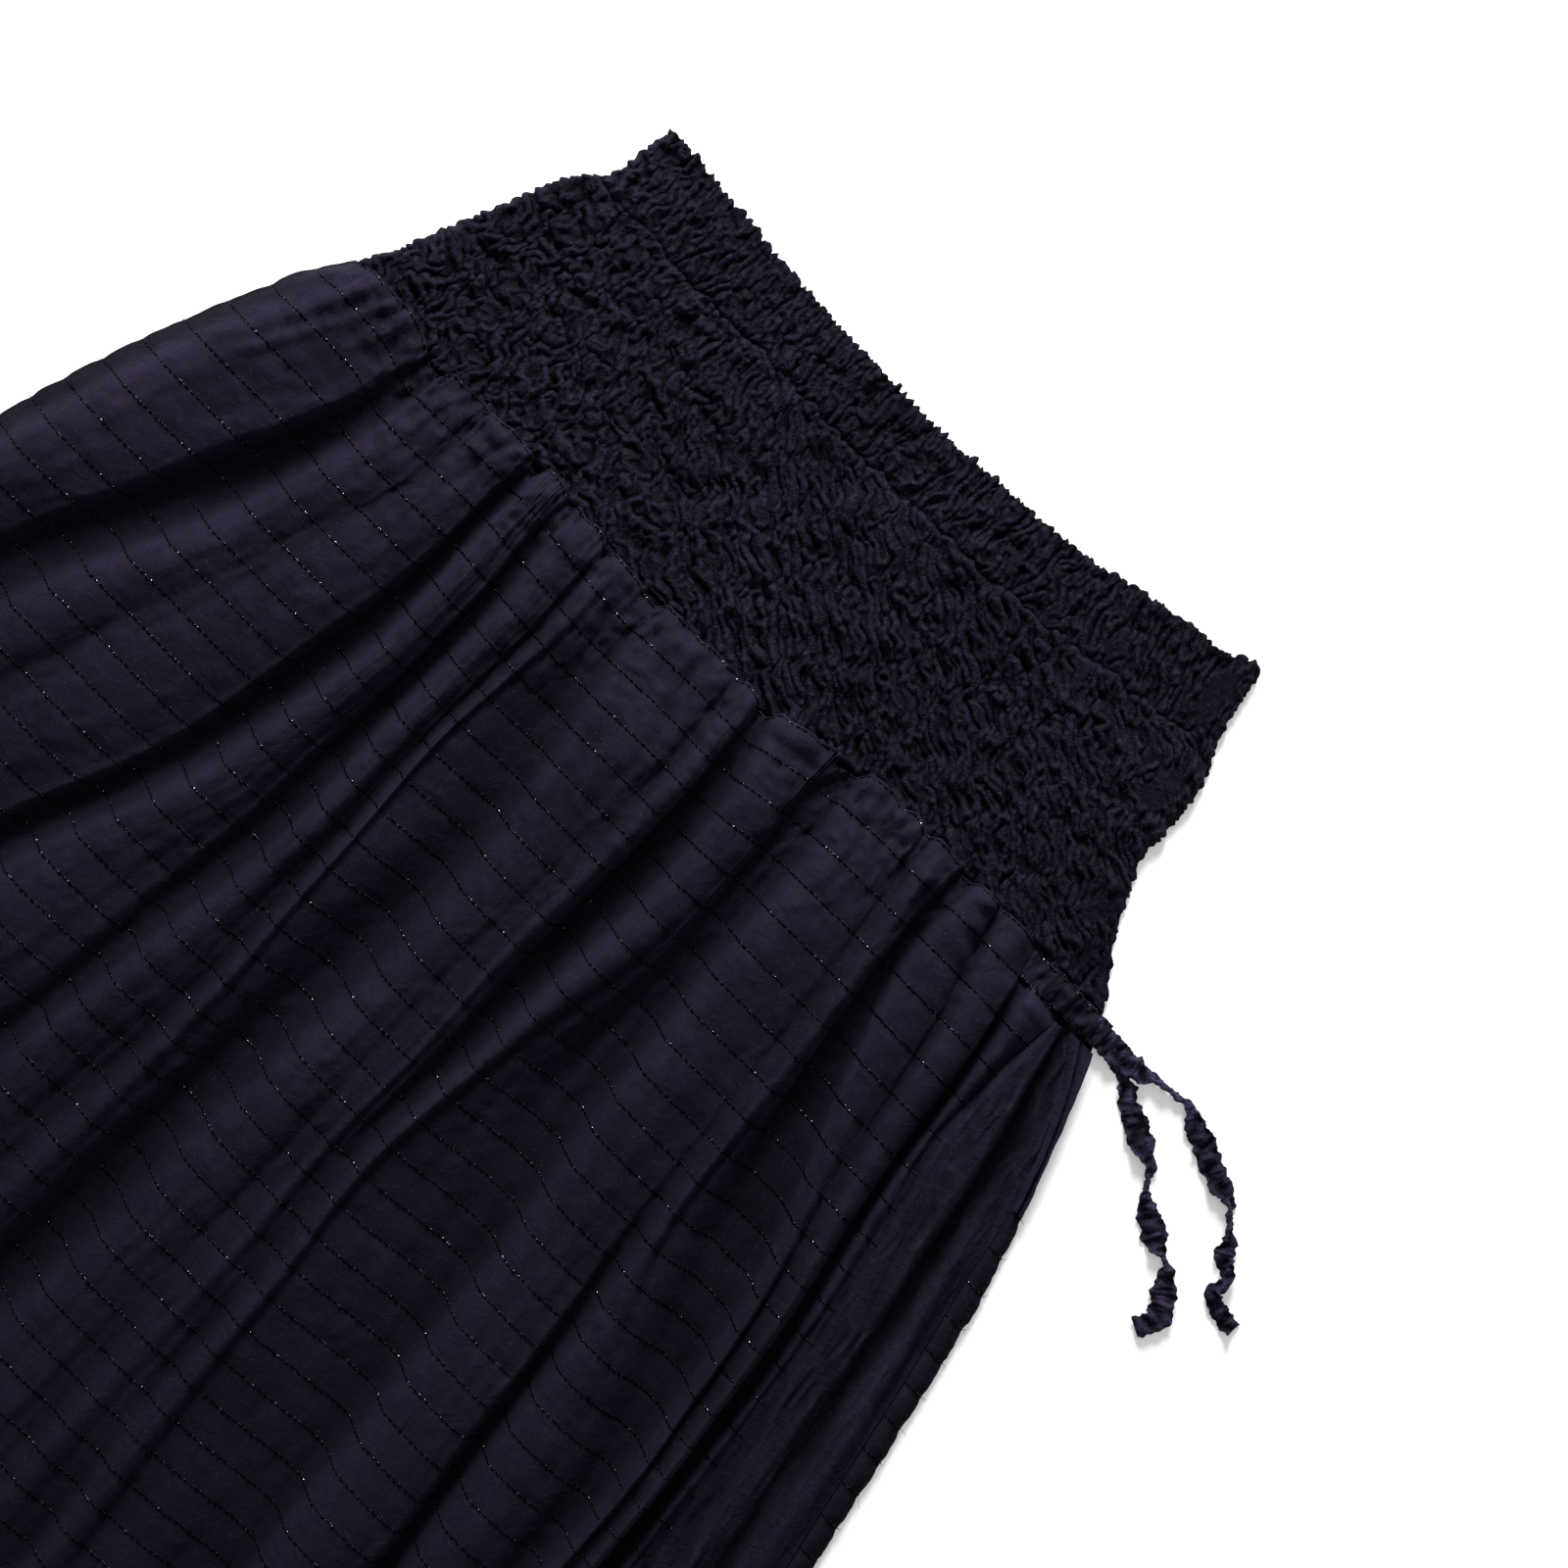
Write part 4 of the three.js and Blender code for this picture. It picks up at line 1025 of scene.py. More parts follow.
@lru_cache(maxsize=None)
def back_yoke_surface(puff_height):
    """The back yoke, its puffs pressed by the surface, a little wider than the front one."""
    share = np.linspace(0, 1, 330)[None, :]
    rows = np.linspace(0, 1, 84)[:, None]
    across, down = place_on(share, rows, left_edge, right_edge,
                            lambda place: stitched_line(place) - 0.2,
                            lambda place: seam_line(place) + 0.4)
    relief = smocking(across, down, seed=70)
    from_side = np.minimum(share, 1 - share) * (right_edge(down) - left_edge(down))
    up = np.clip(2.4 - 0.8 * relief * puff_height, REST_UP, BACK_YOKE_WALL)
    beyond = smooth_step((across - front_edge(down) + 3) / 4)
    up = mix(up, 2.2 + 0.8 * relief * puff_height, beyond) * (1 - 0.6 * near(from_side, 4) ** 2)
    crinkle = 2.2 * puffed(down / 3.2, across / 400, 64, 0.8) - 1.2
    cloth = flat_places(share * YOKE_CUT[0], rows * YOKE_CUT[1])
    return to_world(across + at_sides(share, from_side, 6) * crinkle, down, up), cloth


def heading_surface(front, puff_height):
    """A heading: upright puckers, a ruffled top edge and a drawn-in stitched line below.

    The front one stands on its slab and the back one is pressed by the surface. Both are
    rounded or thinned at their sides and toothed along the top.
    """
    columns, count, seed, far_edge = (620, 60, 80, front_edge) if front else (330, 32, 90, right_edge)
    share = np.linspace(0, 1, columns)[None, :]
    rows = np.linspace(0, 1, count)[:, None]
    across, down = place_on(share, rows, left_edge, far_edge, top_line, stitches)
    bend = layered(across, down, (2.2, 12, 13, seed), (0.9, 4.5, 6, seed + 1))
    bent = across + bend - smooth_step((across - 60) / 70) * 0.35 * (down - 20)
    puckers = puffed(bent / 5.2, down / 15 + 0.12 * bend, seed + 2, 0.75)
    crests = crested(bent / 4.4 + 5, down / 11 + 0.12 * bend, seed + 10)
    small = crested(bent / 3.0, down / 6, seed + 3)
    relief = 1.7 * puckers + 1.5 * crests + 0.7 * small + layered(across, down, (0.9, 11, 12, seed + 4))
    smooth_pad = 1.9 + layered(across, down, (0.4, 5, 6, seed + 5))
    relief = mix(relief, smooth_pad, 0.8 * pad_share(across, down))
    depth = stitches(across) - top_line(across)
    from_side = np.minimum(share, 1 - share) * (far_edge(down) - left_edge(down))
    ruffle = np.exp(-rows * depth / 3.0)
    tooth = 3.2 * puffed(across / 3.9, across / 300, seed + 6, 0.8) - 0.4
    tooth = (tooth + layered(across, across, (0.9, 11, 300, seed + 7))) * smooth_step(from_side / 4)
    flutter = 1.8 * soft_noise(across / 2.6, across / 300 + 5, seed + 8)
    crinkle = 2.0 * puffed(down / 3.4, across / 400, seed + 9, 0.8) - 1.1
    if front:
        drawn = np.exp(-(((1 - rows) * depth / 1.8) ** 2))
        body = YOKE_UP + puff_height * relief * (1 - 0.7 * drawn) + ruffle * flutter
        up = mix(YOKE_SIDE_UP, body, rounded(from_side, 4))
    else:
        up = np.clip(1.9 - puff_height * relief, REST_UP, BACK_YOKE_WALL)
        up = up + ruffle * (0.8 + 0.5 * flutter)
    moved_across, moved_down = puff_out(across, down, up, 0.28)
    moved_across = moved_across + at_sides(share, from_side, 5) * crinkle
    points = to_world(moved_across, moved_down - tooth * ruffle, np.maximum(up, REST_UP))
    return points, flat_places(share * HEADING_CUT[0], rows * HEADING_CUT[1])


def casing_surface():
    """The casing's end: a flattened tunnel whose section is a rounded loop, open at its mouth.

    It comes up out of the panel's gathers over a short way and is crinkled on its top side.
    """
    along = np.linspace(0, 1, 90)[:, None]
    angle = np.linspace(0, 2 * math.pi, 44, endpoint=False)[None, :]
    across = mix(CASING_START - 10, CASING_END, along) + 0 * angle
    under = table_curve(CASING_SECTIONS, "across", "under")(across)
    over = table_curve(CASING_SECTIONS, "across", "over")(across)
    squared = np.sign(np.cos(angle)) * np.abs(np.cos(angle)) ** 0.7
    down = (CASING_TOP + CASING_BOTTOM) / 2 + (CASING_BOTTOM - CASING_TOP) / 2 * squared
    crinkle = layered(across, down, (1.7, 3.6, 7, 101), (0.8, 2.0, 4, 102), (1.5, 6.5, 12, 104))
    sunk = 8.5 * (1 - smooth_step((across - CASING_START + 10) / 22))
    up = (under + over) / 2 + 0.1 - sunk + (over - under) / 2 * np.sin(angle)
    up = up + (np.sin(angle) > -0.2) * crinkle
    down = down + 0.8 * soft_noise(across / 4, 2 * np.cos(angle), 103)
    return to_world(across, down, up), flat_places(across, angle * 4)


def unit(vectors):
    """Vectors brought to a length of 1."""
    return vectors / np.linalg.norm(vectors, axis=-1, keepdims=True)


def tie_surface(stations, seed):
    """A tie: a flat oval section along its middle line, rolled, pinched and crinkled.

    The middle line is a smooth curve through the stations. The crinkles are short puckers
    across the strip, stronger where it is wide. The third result is painted light for the
    cotton: painted highlights where the strip is narrow and pinched, and random lighter and
    darker patches along it.
    """
    knots = np.arange(len(stations))
    along = np.linspace(0, len(stations) - 1, 20 * (len(stations) - 1))
    read = {name: curve_at(knots, [row[name] for row in stations], along) for name in stations[0]}
    middle = to_world(read["across"], read["down"], read["up"])
    tangent = unit(np.gradient(middle, axis=0))
    beside = unit(np.cross(np.array([0.0, 0.0, 1.0]), tangent))
    above = np.cross(tangent, beside)
    sway = 20 * soft_noise(along * 0.9, 0 * along + 0.5, seed + 5) * smooth_step((read["width"] - 4) / 3)
    roll = np.radians(read["roll"] + sway * smooth_step(along - 3))[:, None, None]
    angle = np.linspace(0, 2 * math.pi, 26, endpoint=False)[None, :]
    steps = np.linalg.norm(np.diff(middle, axis=0), axis=1)
    travelled = np.concatenate([[0], np.cumsum(steps)])[:, None] / MM
    lane = np.cos(angle)
    side = np.sign(lane)
    narrow = 1 - smooth_step((read["width"][:, None] - 2.5) / 5)
    pucker = 0.8 * soft_noise(travelled / 1.6, lane * 1.1 + 3, seed)
    pucker = pucker + 2.3 * soft_noise(travelled / 4.6, lane, seed + 1)
    edge = 0.8 * soft_noise(travelled / 1.9, side * 4, seed + 2)
    edge = edge + 1.5 * soft_noise(travelled / 4.8, side * 7, seed + 3)
    half = read["width"][:, None] * 0.55
    out = (half + edge * np.abs(lane)) * side * np.abs(lane) ** 0.85
    curl = 0.10 * half * lane**2 * (1 + soft_noise(travelled / 12, 0 * lane, seed + 4))
    rise = (0.55 + 0.5 * narrow) * np.sin(angle) + pucker * (1 - 0.3 * narrow) + curl
    out, rise = ((part * MM)[:, :, None] for part in (out, rise))
    across_way = beside[:, None] * np.cos(roll) + above[:, None] * np.sin(roll)
    up_way = above[:, None] * np.cos(roll) - beside[:, None] * np.sin(roll)
    points = middle[:, None] + out * across_way + rise * up_way
    points[:, :, 2] = np.maximum(points[:, :, 2], 0.05 * MM)
    # painted light: highlights where the strip is narrow, and random lighter and darker patches
    painted_shading = narrow + 0.7 * soft_noise(travelled / 11, 0 * travelled + 0.5, seed + 6) - 0.3
    return points, flat_places(travelled, angle * 3), painted_shading


def facing_surface(strip):
    """A narrow folded strip along the side opening, its section a low rounded loop that leans
    towards the gore and thins out at its lower end."""
    nominal = np.linspace(FACING_TOP, FACING_END, 80)[:, None]
    start = section_edge(gore_edge, nominal) - 0.4
    end = section_edge(right_edge, nominal) - 0.2
    angle = np.linspace(-0.3 * math.pi, 1.3 * math.pi, 18)[None, :]
    middle = mix(start, end, (strip["start"] + strip["end"]) / 2)
    half = (end - start) * (strip["end"] - strip["start"]) / 2
    fade = smooth_step((FACING_END - nominal) / 20)
    across = middle + half * np.cos(angle) + 0.3 * soft_noise(nominal / 6, angle, strip["seed"])
    lift = strip["height"] * (0.45 + 0.55 * fade) * (0.5 + 0.5 * np.sin(angle))
    tilt = 0.5 * strip["height"] * np.cos(angle)
    rough = 0.25 * soft_noise(nominal / 4, angle * 0.6, strip["seed"] + 1)
    up = BACK_WALL + SEAM_GAP + 1.2 + lift + tilt + rough
    return to_world(across, section_down(nominal, across), up), flat_places(angle * 2, nominal)


# Shader groups and materials


def add_node(tree, kind, inputs, **settings):
    """A node with its settings. Each input, by name or number, is linked where an output is
    given for it and set where a value is."""
    node = tree.nodes.new(kind)
    for name, value in settings.items():
        setattr(node, name, value)
    fill(tree, node, inputs)
    return node


def fill(tree, node, inputs):
    """Links or sets a node's inputs."""
    for socket, given in inputs.items():
        if isinstance(given, bpy.types.NodeSocket):
            tree.links.new(given, node.inputs[socket])
        else:
            node.inputs[socket].default_value = given


def new_group(name, inputs, outputs):
    """An empty shader group with its sockets, its tree and its two end nodes."""
    tree = bpy.data.node_groups.new(name, "ShaderNodeTree")
    for label, default in inputs.items():
        kind = "NodeSocketVector" if default is None else "NodeSocketFloat"
        socket = tree.interface.new_socket(label, in_out="INPUT", socket_type=kind)
        if default is not None:
            socket.default_value = default
    for label in outputs:
        tree.interface.new_socket(label, in_out="OUTPUT", socket_type="NodeSocketFloat")
    return tree, tree.nodes.new("NodeGroupInput"), tree.nodes.new("NodeGroupOutput")


def new_material(name):
    """A material with its tree and its Principled shader."""
    material = bpy.data.materials.new(name)
    material.use_nodes = True
    return material, material.node_tree, material.node_tree.nodes["Principled BSDF"]


def scaled(tree, vector, scale):
    """The vector times a scale for each axis."""
    node = add_node(tree, "ShaderNodeVectorMath", {0: vector, 1: scale}, operation="MULTIPLY")
    return node.outputs[0]


def noise_node(tree, vector, scale, detail):
    """Noise over a place, about 0 to 1."""
    inputs = {"Vector": vector, "Scale": scale, "Detail": detail}
    return add_node(tree, "ShaderNodeTexNoise", inputs).outputs["Fac"]


def math_node(tree, operation, first, second=0.0):
    """One sum, product or other operation on two values."""
    return add_node(tree, "ShaderNodeMath", {0: first, 1: second}, operation=operation).outputs[0]


def spread(tree, value, low, high, to_low=0.0, to_high=1.0):
    """Maps a value's range to another, held at its ends."""
    inputs = {"Value": value, "From Min": low, "From Max": high, "To Min": to_low, "To Max": to_high}
    return add_node(tree, "ShaderNodeMapRange", inputs).outputs["Result"]


def mixed_colour(tree, share, first, second, blend="MIX"):
    """Two colours mixed by a share."""
    inputs = {"Factor": share, "A": first, "B": second}
    node = add_node(tree, "ShaderNodeMix", inputs, data_type="RGBA", blend_type=blend)
    return node.outputs["Result"]


def bumped(tree, height, strength, distance, **normal):
    """A normal tipped by a height, on top of another normal where one is given."""
    inputs = {"Strength": strength, "Distance": distance, "Height": height, **normal}
    return add_node(tree, "ShaderNodeBump", inputs).outputs["Normal"]


@lru_cache(maxsize=None)
def woven_group():
    """Plain weave: crossed yarns with uneven slubs. Takes cloth metres, gives height and tone."""
    tree, given, result = new_group(
        "Woven cloth", {"Cloth": None, "Yarns per mm": 1.6}, ("Height", "Tone"))
    millimetres = scaled(tree, given.outputs["Cloth"], (1000, 1000, 0))
    split = add_node(tree, "ShaderNodeSeparateXYZ", {0: millimetres})
    waves = []
    for axis in (0, 1):
        turned = math_node(tree, "MULTIPLY", split.outputs[axis], given.outputs["Yarns per mm"])
        waves.append(math_node(tree, "SINE", math_node(tree, "MULTIPLY", turned, 2 * math.pi)))
    weave = math_node(tree, "MULTIPLY", *waves)
    warp_slub, weft_slub = (noise_node(tree, scaled(tree, millimetres, size), 1.0, 2.0)
                            for size in ((1.3, 0.06, 0), (0.06, 1.3, 0)))
    slubs = math_node(tree, "ADD", warp_slub, weft_slub)
    height = math_node(tree, "ADD", slubs, math_node(tree, "MULTIPLY", weave, 0.12))
    fill(tree, result, {"Height": height, "Tone": spread(tree, slubs, 0.7, 1.3)})
    return tree


@lru_cache(maxsize=None)
def crinkle_group():
    """Fine crumpled creases on Object coordinates: narrow lines where a bent noise is half.

    Height rises from 0 in a crease to 1 away from it; the cotton bumps with it and paints shade
    in the creases by it. The second output is a thin line along its lip, used for painted
    highlights.
    """
    tree, given, result = new_group(
        "Fine creases", {"Place": None, "Creases per mm": 0.4}, ("Height", "Painted lip highlight"))
    millimetres = scaled(tree, given.outputs["Place"], (1000, 1000, 1000))
    size = add_node(tree, "ShaderNodeVectorMath",
                    {0: millimetres, "Scale": given.outputs["Creases per mm"]}, operation="SCALE")
    node = add_node(tree, "ShaderNodeTexNoise",
                    {"Vector": size.outputs[0], "Scale": 1.0, "Detail": 3.0, "Distortion": 0.6})

    def from_half(value):
        return math_node(tree, "ABSOLUTE", math_node(tree, "SUBTRACT", value, 0.5))

    height = spread(tree, from_half(node.outputs["Fac"]), 0.0, 0.16)
    # thin line along each crease's lip, for painted highlights
    painted_crest_light = spread(tree, from_half(height), 0.0, 0.16, 1.0, 0.0)
    fill(tree, result, {"Height": height, "Painted lip highlight": painted_crest_light})
    return tree


@lru_cache(maxsize=None)
def fading_group():
    """Slow uneven fading of the dye and a little lint, on Object coordinates."""
    tree, given, result = new_group("Uneven dye", {"Place": None}, ("Tone", "Lint", "Drift"))
    place = given.outputs["Place"]
    drift = noise_node(tree, scaled(tree, place, (1, 1, 1.3)), 130.0, 2.0)
    slow = math_node(tree, "MULTIPLY", noise_node(tree, place, 22.0, 3.0), 0.7)
    small = math_node(tree, "MULTIPLY", noise_node(tree, place, 160.0, 2.0), 0.3)
    specks = noise_node(tree, place, 1500.0, 0.0)
    fill(tree, result, {
        "Tone": spread(tree, math_node(tree, "ADD", slow, small), 0.32, 0.68),
        "Lint": spread(tree, specks, 0.80, 0.84),
        "Drift": spread(tree, drift, 0.38, 0.64),
    })
    return tree


@lru_cache(maxsize=None)
def cotton(name):
    """Dyed cotton, by its row in COTTONS: two tones mixed by the dye's fading and the yarns, with
    painted highlights on crests and painted shade in hollows by the relief, and painted shade in
    fine creases with painted highlights on their lips by the share crumple. Its hue drifts to
    blue grey by the share drift. Soft sheen, and bump from weave and creases."""
    row = next(row for row in COTTONS if row["name"] == name)
    deep, light = ((*(part * row[share] for part in dye), 1) for dye, share in (
        (finish().deep_dye, "deep"), (finish().light_dye, "light")))
    material, tree, shader = new_material(f"{name}_cotton")
    cloth = add_node(tree, "ShaderNodeUVMap", {}, uv_map="cloth").outputs["UV"]
    place = add_node(tree, "ShaderNodeTexCoord", {}).outputs["Object"]
    weave = add_node(tree, "ShaderNodeGroup", {}, node_tree=woven_group())
    creases = add_node(tree, "ShaderNodeGroup", {}, node_tree=crinkle_group())
    dye = add_node(tree, "ShaderNodeGroup", {}, node_tree=fading_group())
    fill(tree, weave, {"Cloth": cloth})
    fill(tree, creases, {"Place": place, "Creases per mm": row["creases_per_mm"]})
    fill(tree, dye, {"Place": place})
    tone = math_node(tree, "ADD", math_node(tree, "MULTIPLY", dye.outputs["Tone"], 0.65),
                     math_node(tree, "MULTIPLY", weave.outputs["Tone"], 0.35))
    drift = math_node(tree, "MULTIPLY", dye.outputs["Drift"], row["drift"])
    colour = mixed_colour(tree, drift, mixed_colour(tree, tone, deep, light), BLUE_GREY, "MULTIPLY")
    relief = add_node(tree, "ShaderNodeAttribute", {}, attribute_name="relief").outputs["Fac"]
    # painted light and shade from the relief: lighter on rises, darker in hollows
    painted_shading = spread(tree, relief, -1.0, 1.0, 1 - row["wear"], 1 + row["wear"])
    # painted shade in the fine creases
    hollow = spread(tree, creases.outputs["Height"], 0.0, 0.45, 1 - row["crumple"], 1.0)
    # painted highlights along the creases' lips
    painted_crest_light = math_node(tree, "MULTIPLY", creases.outputs["Painted lip highlight"], row["crumple"])
    # all the painted light and shade as one factor on the colour
    shade = math_node(tree, "MULTIPLY", painted_shading, math_node(tree, "ADD", hollow, painted_crest_light))
    painted_shaded_colour = add_node(tree, "ShaderNodeVectorMath", {0: colour, "Scale": shade}, operation="SCALE")
    lint = math_node(tree, "MULTIPLY", dye.outputs["Lint"], 0.35)
    folded = bumped(tree, creases.outputs["Height"], row["crease_bump"], 0.0006)
    fill(tree, shader, {
        "Specular IOR Level": 0.05,
        "Sheen Weight": row["sheen"],
        "Sheen Roughness": 0.45,
        "Sheen Tint": SHEEN_TINT,
        "Base Color": mixed_colour(tree, lint, painted_shaded_colour.outputs["Vector"], LINT),
        "Roughness": spread(tree, tone, 0.0, 1.0, 0.88, 0.74),
        "Normal": bumped(tree, weave.outputs["Height"], row["yarn_bump"], 0.00012, Normal=folded),
    })
    return material


@lru_cache(maxsize=None)
def black_thread():
    """Black shiny thread with tiny bright glints where its twist catches the light."""
    material, tree, shader = new_material("black_glinting_thread")
    place = add_node(tree, "ShaderNodeTexCoord", {}).outputs["Object"]
    glint = spread(tree, noise_node(tree, place, 2300.0, 0.0), 0.72, 0.78)
    fill(tree, shader, {
        "Specular IOR Level": 0.03,
        "Base Color": mixed_colour(tree, glint, THREAD_BLACK, THREAD_GLINT),
        "Metallic": glint,
        "Roughness": spread(tree, glint, 0.0, 1.0, 0.6, 0.3),
        "Normal": bumped(tree, noise_node(tree, place, 2600.0, 1.0), 0.4, 0.0001),
    })
    return material


def white_paper():
    """Matte white paper with the faintest grain, which gives off a little light."""
    material, tree, shader = new_material("white_paper")
    colour = finish().floor_colour
    place = add_node(tree, "ShaderNodeTexCoord", {}).outputs["Object"]
    grain = noise_node(tree, place, 60.0, 4.0)
    lighter = (*(min(1.0, part * 1.01) for part in colour), 1)
    tint = mixed_colour(tree, grain, (*colour, 1), lighter)
    fill(tree, shader, {
        "Specular IOR Level": 0.1,
        "Base Color": tint,
        "Roughness": spread(tree, grain, 0.3, 0.7, 0.85, 0.95),
        "Emission Color": tint,
        "Emission Strength": 0.3,
    })
    return material


# Values that a user may change


class SkirtShape(bpy.types.PropertyGroup):
    fold_lift: bpy.props.FloatProperty(
        name="Fold height", description="Height of the folds, as a share of the measured one",
        default=1.1, min=0.3, max=1.6, subtype="FACTOR")
    puff_height: bpy.props.FloatProperty(
        name="Puff height", description="Height of the smocking's puffs",
        default=0.00135, min=0.0002, max=0.004, precision=5, unit="LENGTH")
    thread_pitch: bpy.props.FloatProperty(
        name="Thread pitch", description="Distance between the threads",
        default=0.0156, min=0.005, max=0.04, precision=4, unit="LENGTH")
    thread_radius: bpy.props.FloatProperty(
        name="Thread radius", description="Radius of the threads",
        default=0.00048, min=0.0001, max=0.001, precision=5, unit="LENGTH")


class SkirtFinish(bpy.types.PropertyGroup):
    deep_dye: bpy.props.FloatVectorProperty(
        name="Deep dye", description="Darker tone of the cloth", subtype="COLOR",
        default=(0.0050, 0.0039, 0.0086), min=0, max=1)
    light_dye: bpy.props.FloatVectorProperty(
        name="Light dye", description="Lighter tone of the cloth", subtype="COLOR",
        default=(0.0119, 0.0091, 0.0199), min=0, max=1)
    floor_colour: bpy.props.FloatVectorProperty(
        name="Floor colour", description="Colour of the surface that the skirt lies on",
        subtype="COLOR", default=(0.94, 0.94, 0.94), min=0, max=1)


def user_size(name):
    """One of the user's lengths, in millimetres."""
    return getattr(bpy.context.scene.skirt_shape, name) / MM


def finish():
    """The user's colours."""
    return bpy.context.scene.skirt_finish


def front_panel_now():
    """The front panel's surface with the user's fold height and thread pitch."""
    return front_panel_surface(bpy.context.scene.skirt_shape.fold_lift, user_size("thread_pitch"))


# Operators, one for each group of pieces


class SKIRT_OT_front_panel(bpy.types.Operator):
    """Build the gathered front panel, with its hem turned up and its edges turned under"""

    bl_idname = "skirt.front_panel"
    bl_label = "Front panel"

    def execute(self, context):
        points, cloth, _ = front_panel_now()
        points, cloth = turned_under(points, cloth, "bottom", HEM_DEPTH)
        points, cloth = turned_under(points, cloth, "left", 2.0)
        points, cloth = turned_under(points, cloth, "right", 2.5, thickness=1.2)
        # painted highlights on the fold heads just below the seam, fading down the skirt and in over the
        # left third
        painted_shading = 0.6 * np.exp(-np.maximum(cloth[..., 1] - SEAM_DOWN, 0) / 26)
        painted_shading = painted_shading * smooth_step(cloth[..., 0] / FRONT_CUT[0] / 0.35)
        # a wide relief (7 cells, 2.4 mm) paints shade in the valleys and highlights on the ridges
        panel = cloth_piece("front_panel", points, cloth, cotton("panel"), "threaded_cloth",
                            "skirt_front", reach=7, height=2.4, extra=painted_shading)
        return {"FINISHED"}


class SKIRT_OT_back_panel(bpy.types.Operator):
    """Build the back panel and the edge of it that comes round the side fold"""

    bl_idname = "skirt.back_panel"
    bl_label = "Back panel"

    def execute(self, context):
        points, cloth, _ = back_panel_surface()
        points, cloth = turned_under(points, cloth, "left", 1.0, thickness=0.3)
        panel = cloth_piece("back_panel", points, cloth, cotton("panel"), "threaded_cloth",
                            "skirt_back", faces_down=True)
        points, cloth, _ = turned_edge_surface(user_size("thread_pitch"))
        # painted shade over the whole turned edge (offset -1)
        edge = cloth_piece("back_panel_turned_edge", points, cloth, cotton("side"),
                           "threaded_cloth", "skirt_back_turned_edge", extra=-1.0)
        return {"FINISHED"}


class SKIRT_OT_gore(bpy.types.Operator):
    """Build the plain side gore and the two facings along the side opening"""

    bl_idname = "skirt.gore"
    bl_label = "Side gore and facings"

    def execute(self, context):
        points, cloth, _ = gore_surface()
        points, cloth = turned_under(points, cloth, "bottom", HEM_DEPTH)
        points, cloth = turned_under(points, cloth, "top", 3.0)
        # painted highlight along the gore's outer edge
        painted_crest_light = 1.4 * smooth_step((cloth[..., 0] / GORE_CUT[0] - 0.9) / 0.05)
        # a wide relief (13 cells) paints shade over the hollow
        gore = cloth_piece("plain_side_gore", points, cloth, cotton("side"), "plain_cloth",
                           "side_gore", reach=13, height=2.2, extra=painted_crest_light)
        for strip in FACINGS:
            points, cloth = facing_surface(strip)
            # painted highlights on the facings (offset 0.8)
            facing = cloth_piece(f"facing_{strip['side']}", points, cloth, cotton("side"),
                                 "plain_cloth", f"opening_facing_{strip['side']}",
                                 faces_down=True, extra=0.8)
        return {"FINISHED"}


class SKIRT_OT_yoke(bpy.types.Operator):
    """Build the smocked yoke's front and back"""

    bl_idname = "skirt.yoke"
    bl_label = "Smocked yoke"

    def execute(self, context):
        points, cloth = front_yoke_surface(user_size("puff_height"))
        front = cloth_piece("smocked_yoke_front", points, cloth, cotton("smocked"),
                            "smocked_cloth", "yoke_front", reach=3, height=0.8)
        points, cloth = back_yoke_surface(user_size("puff_height"))
        back = cloth_piece("smocked_yoke_back", points, cloth, cotton("smocked"),
                           "smocked_cloth", "yoke_back", faces_down=True, reach=2, height=0.8)
        return {"FINISHED"}


class SKIRT_OT_heading(bpy.types.Operator):
    """Build the frilled heading's front and back"""

    bl_idname = "skirt.heading"
    bl_label = "Frilled heading"

    def execute(self, context):
        for side, is_front, shown in (("front", True, 0.025), ("back", False, 0.016)):
            points, cloth = heading_surface(is_front, user_size("puff_height"))
            if is_front:
                points, cloth = turned_under(points, cloth, "top", 2.0, thickness=1.0)
            piece = cloth_piece(f"frilled_heading_{side}", points, cloth, cotton("smocked"),
                                "smocked_cloth", f"heading_{side}",
                                faces_down=not is_front, reach=3, height=0.8)
        return {"FINISHED"}


class SKIRT_OT_ties(bpy.types.Operator):
    """Build the casing's end and the two crinkled ties"""

    bl_idname = "skirt.ties"
    bl_label = "Casing and ties"

    def execute(self, context):
        points, cloth = casing_surface()
        casing = cloth_piece("casing_end", points, cloth, cotton("panel"), "threaded_cloth",
                             "tie_casing", closed_across=True)
        for side, stations, seed in (("long", LONG_TIE, 121), ("short", SHORT_TIE, 131)):
            points, cloth, painted_shading = tie_surface(stations, seed)
            # the tie's painted highlights and patches go in as its painted light offset
            tie = cloth_piece(f"{side}_tie", points, cloth, cotton("tie"), "tie_cloth",
                              f"tie_{side}", closed_across=True, faces_down=True, extra=painted_shading)
            close_ends(tie.data, *points.shape[:2])
        return {"FINISHED"}


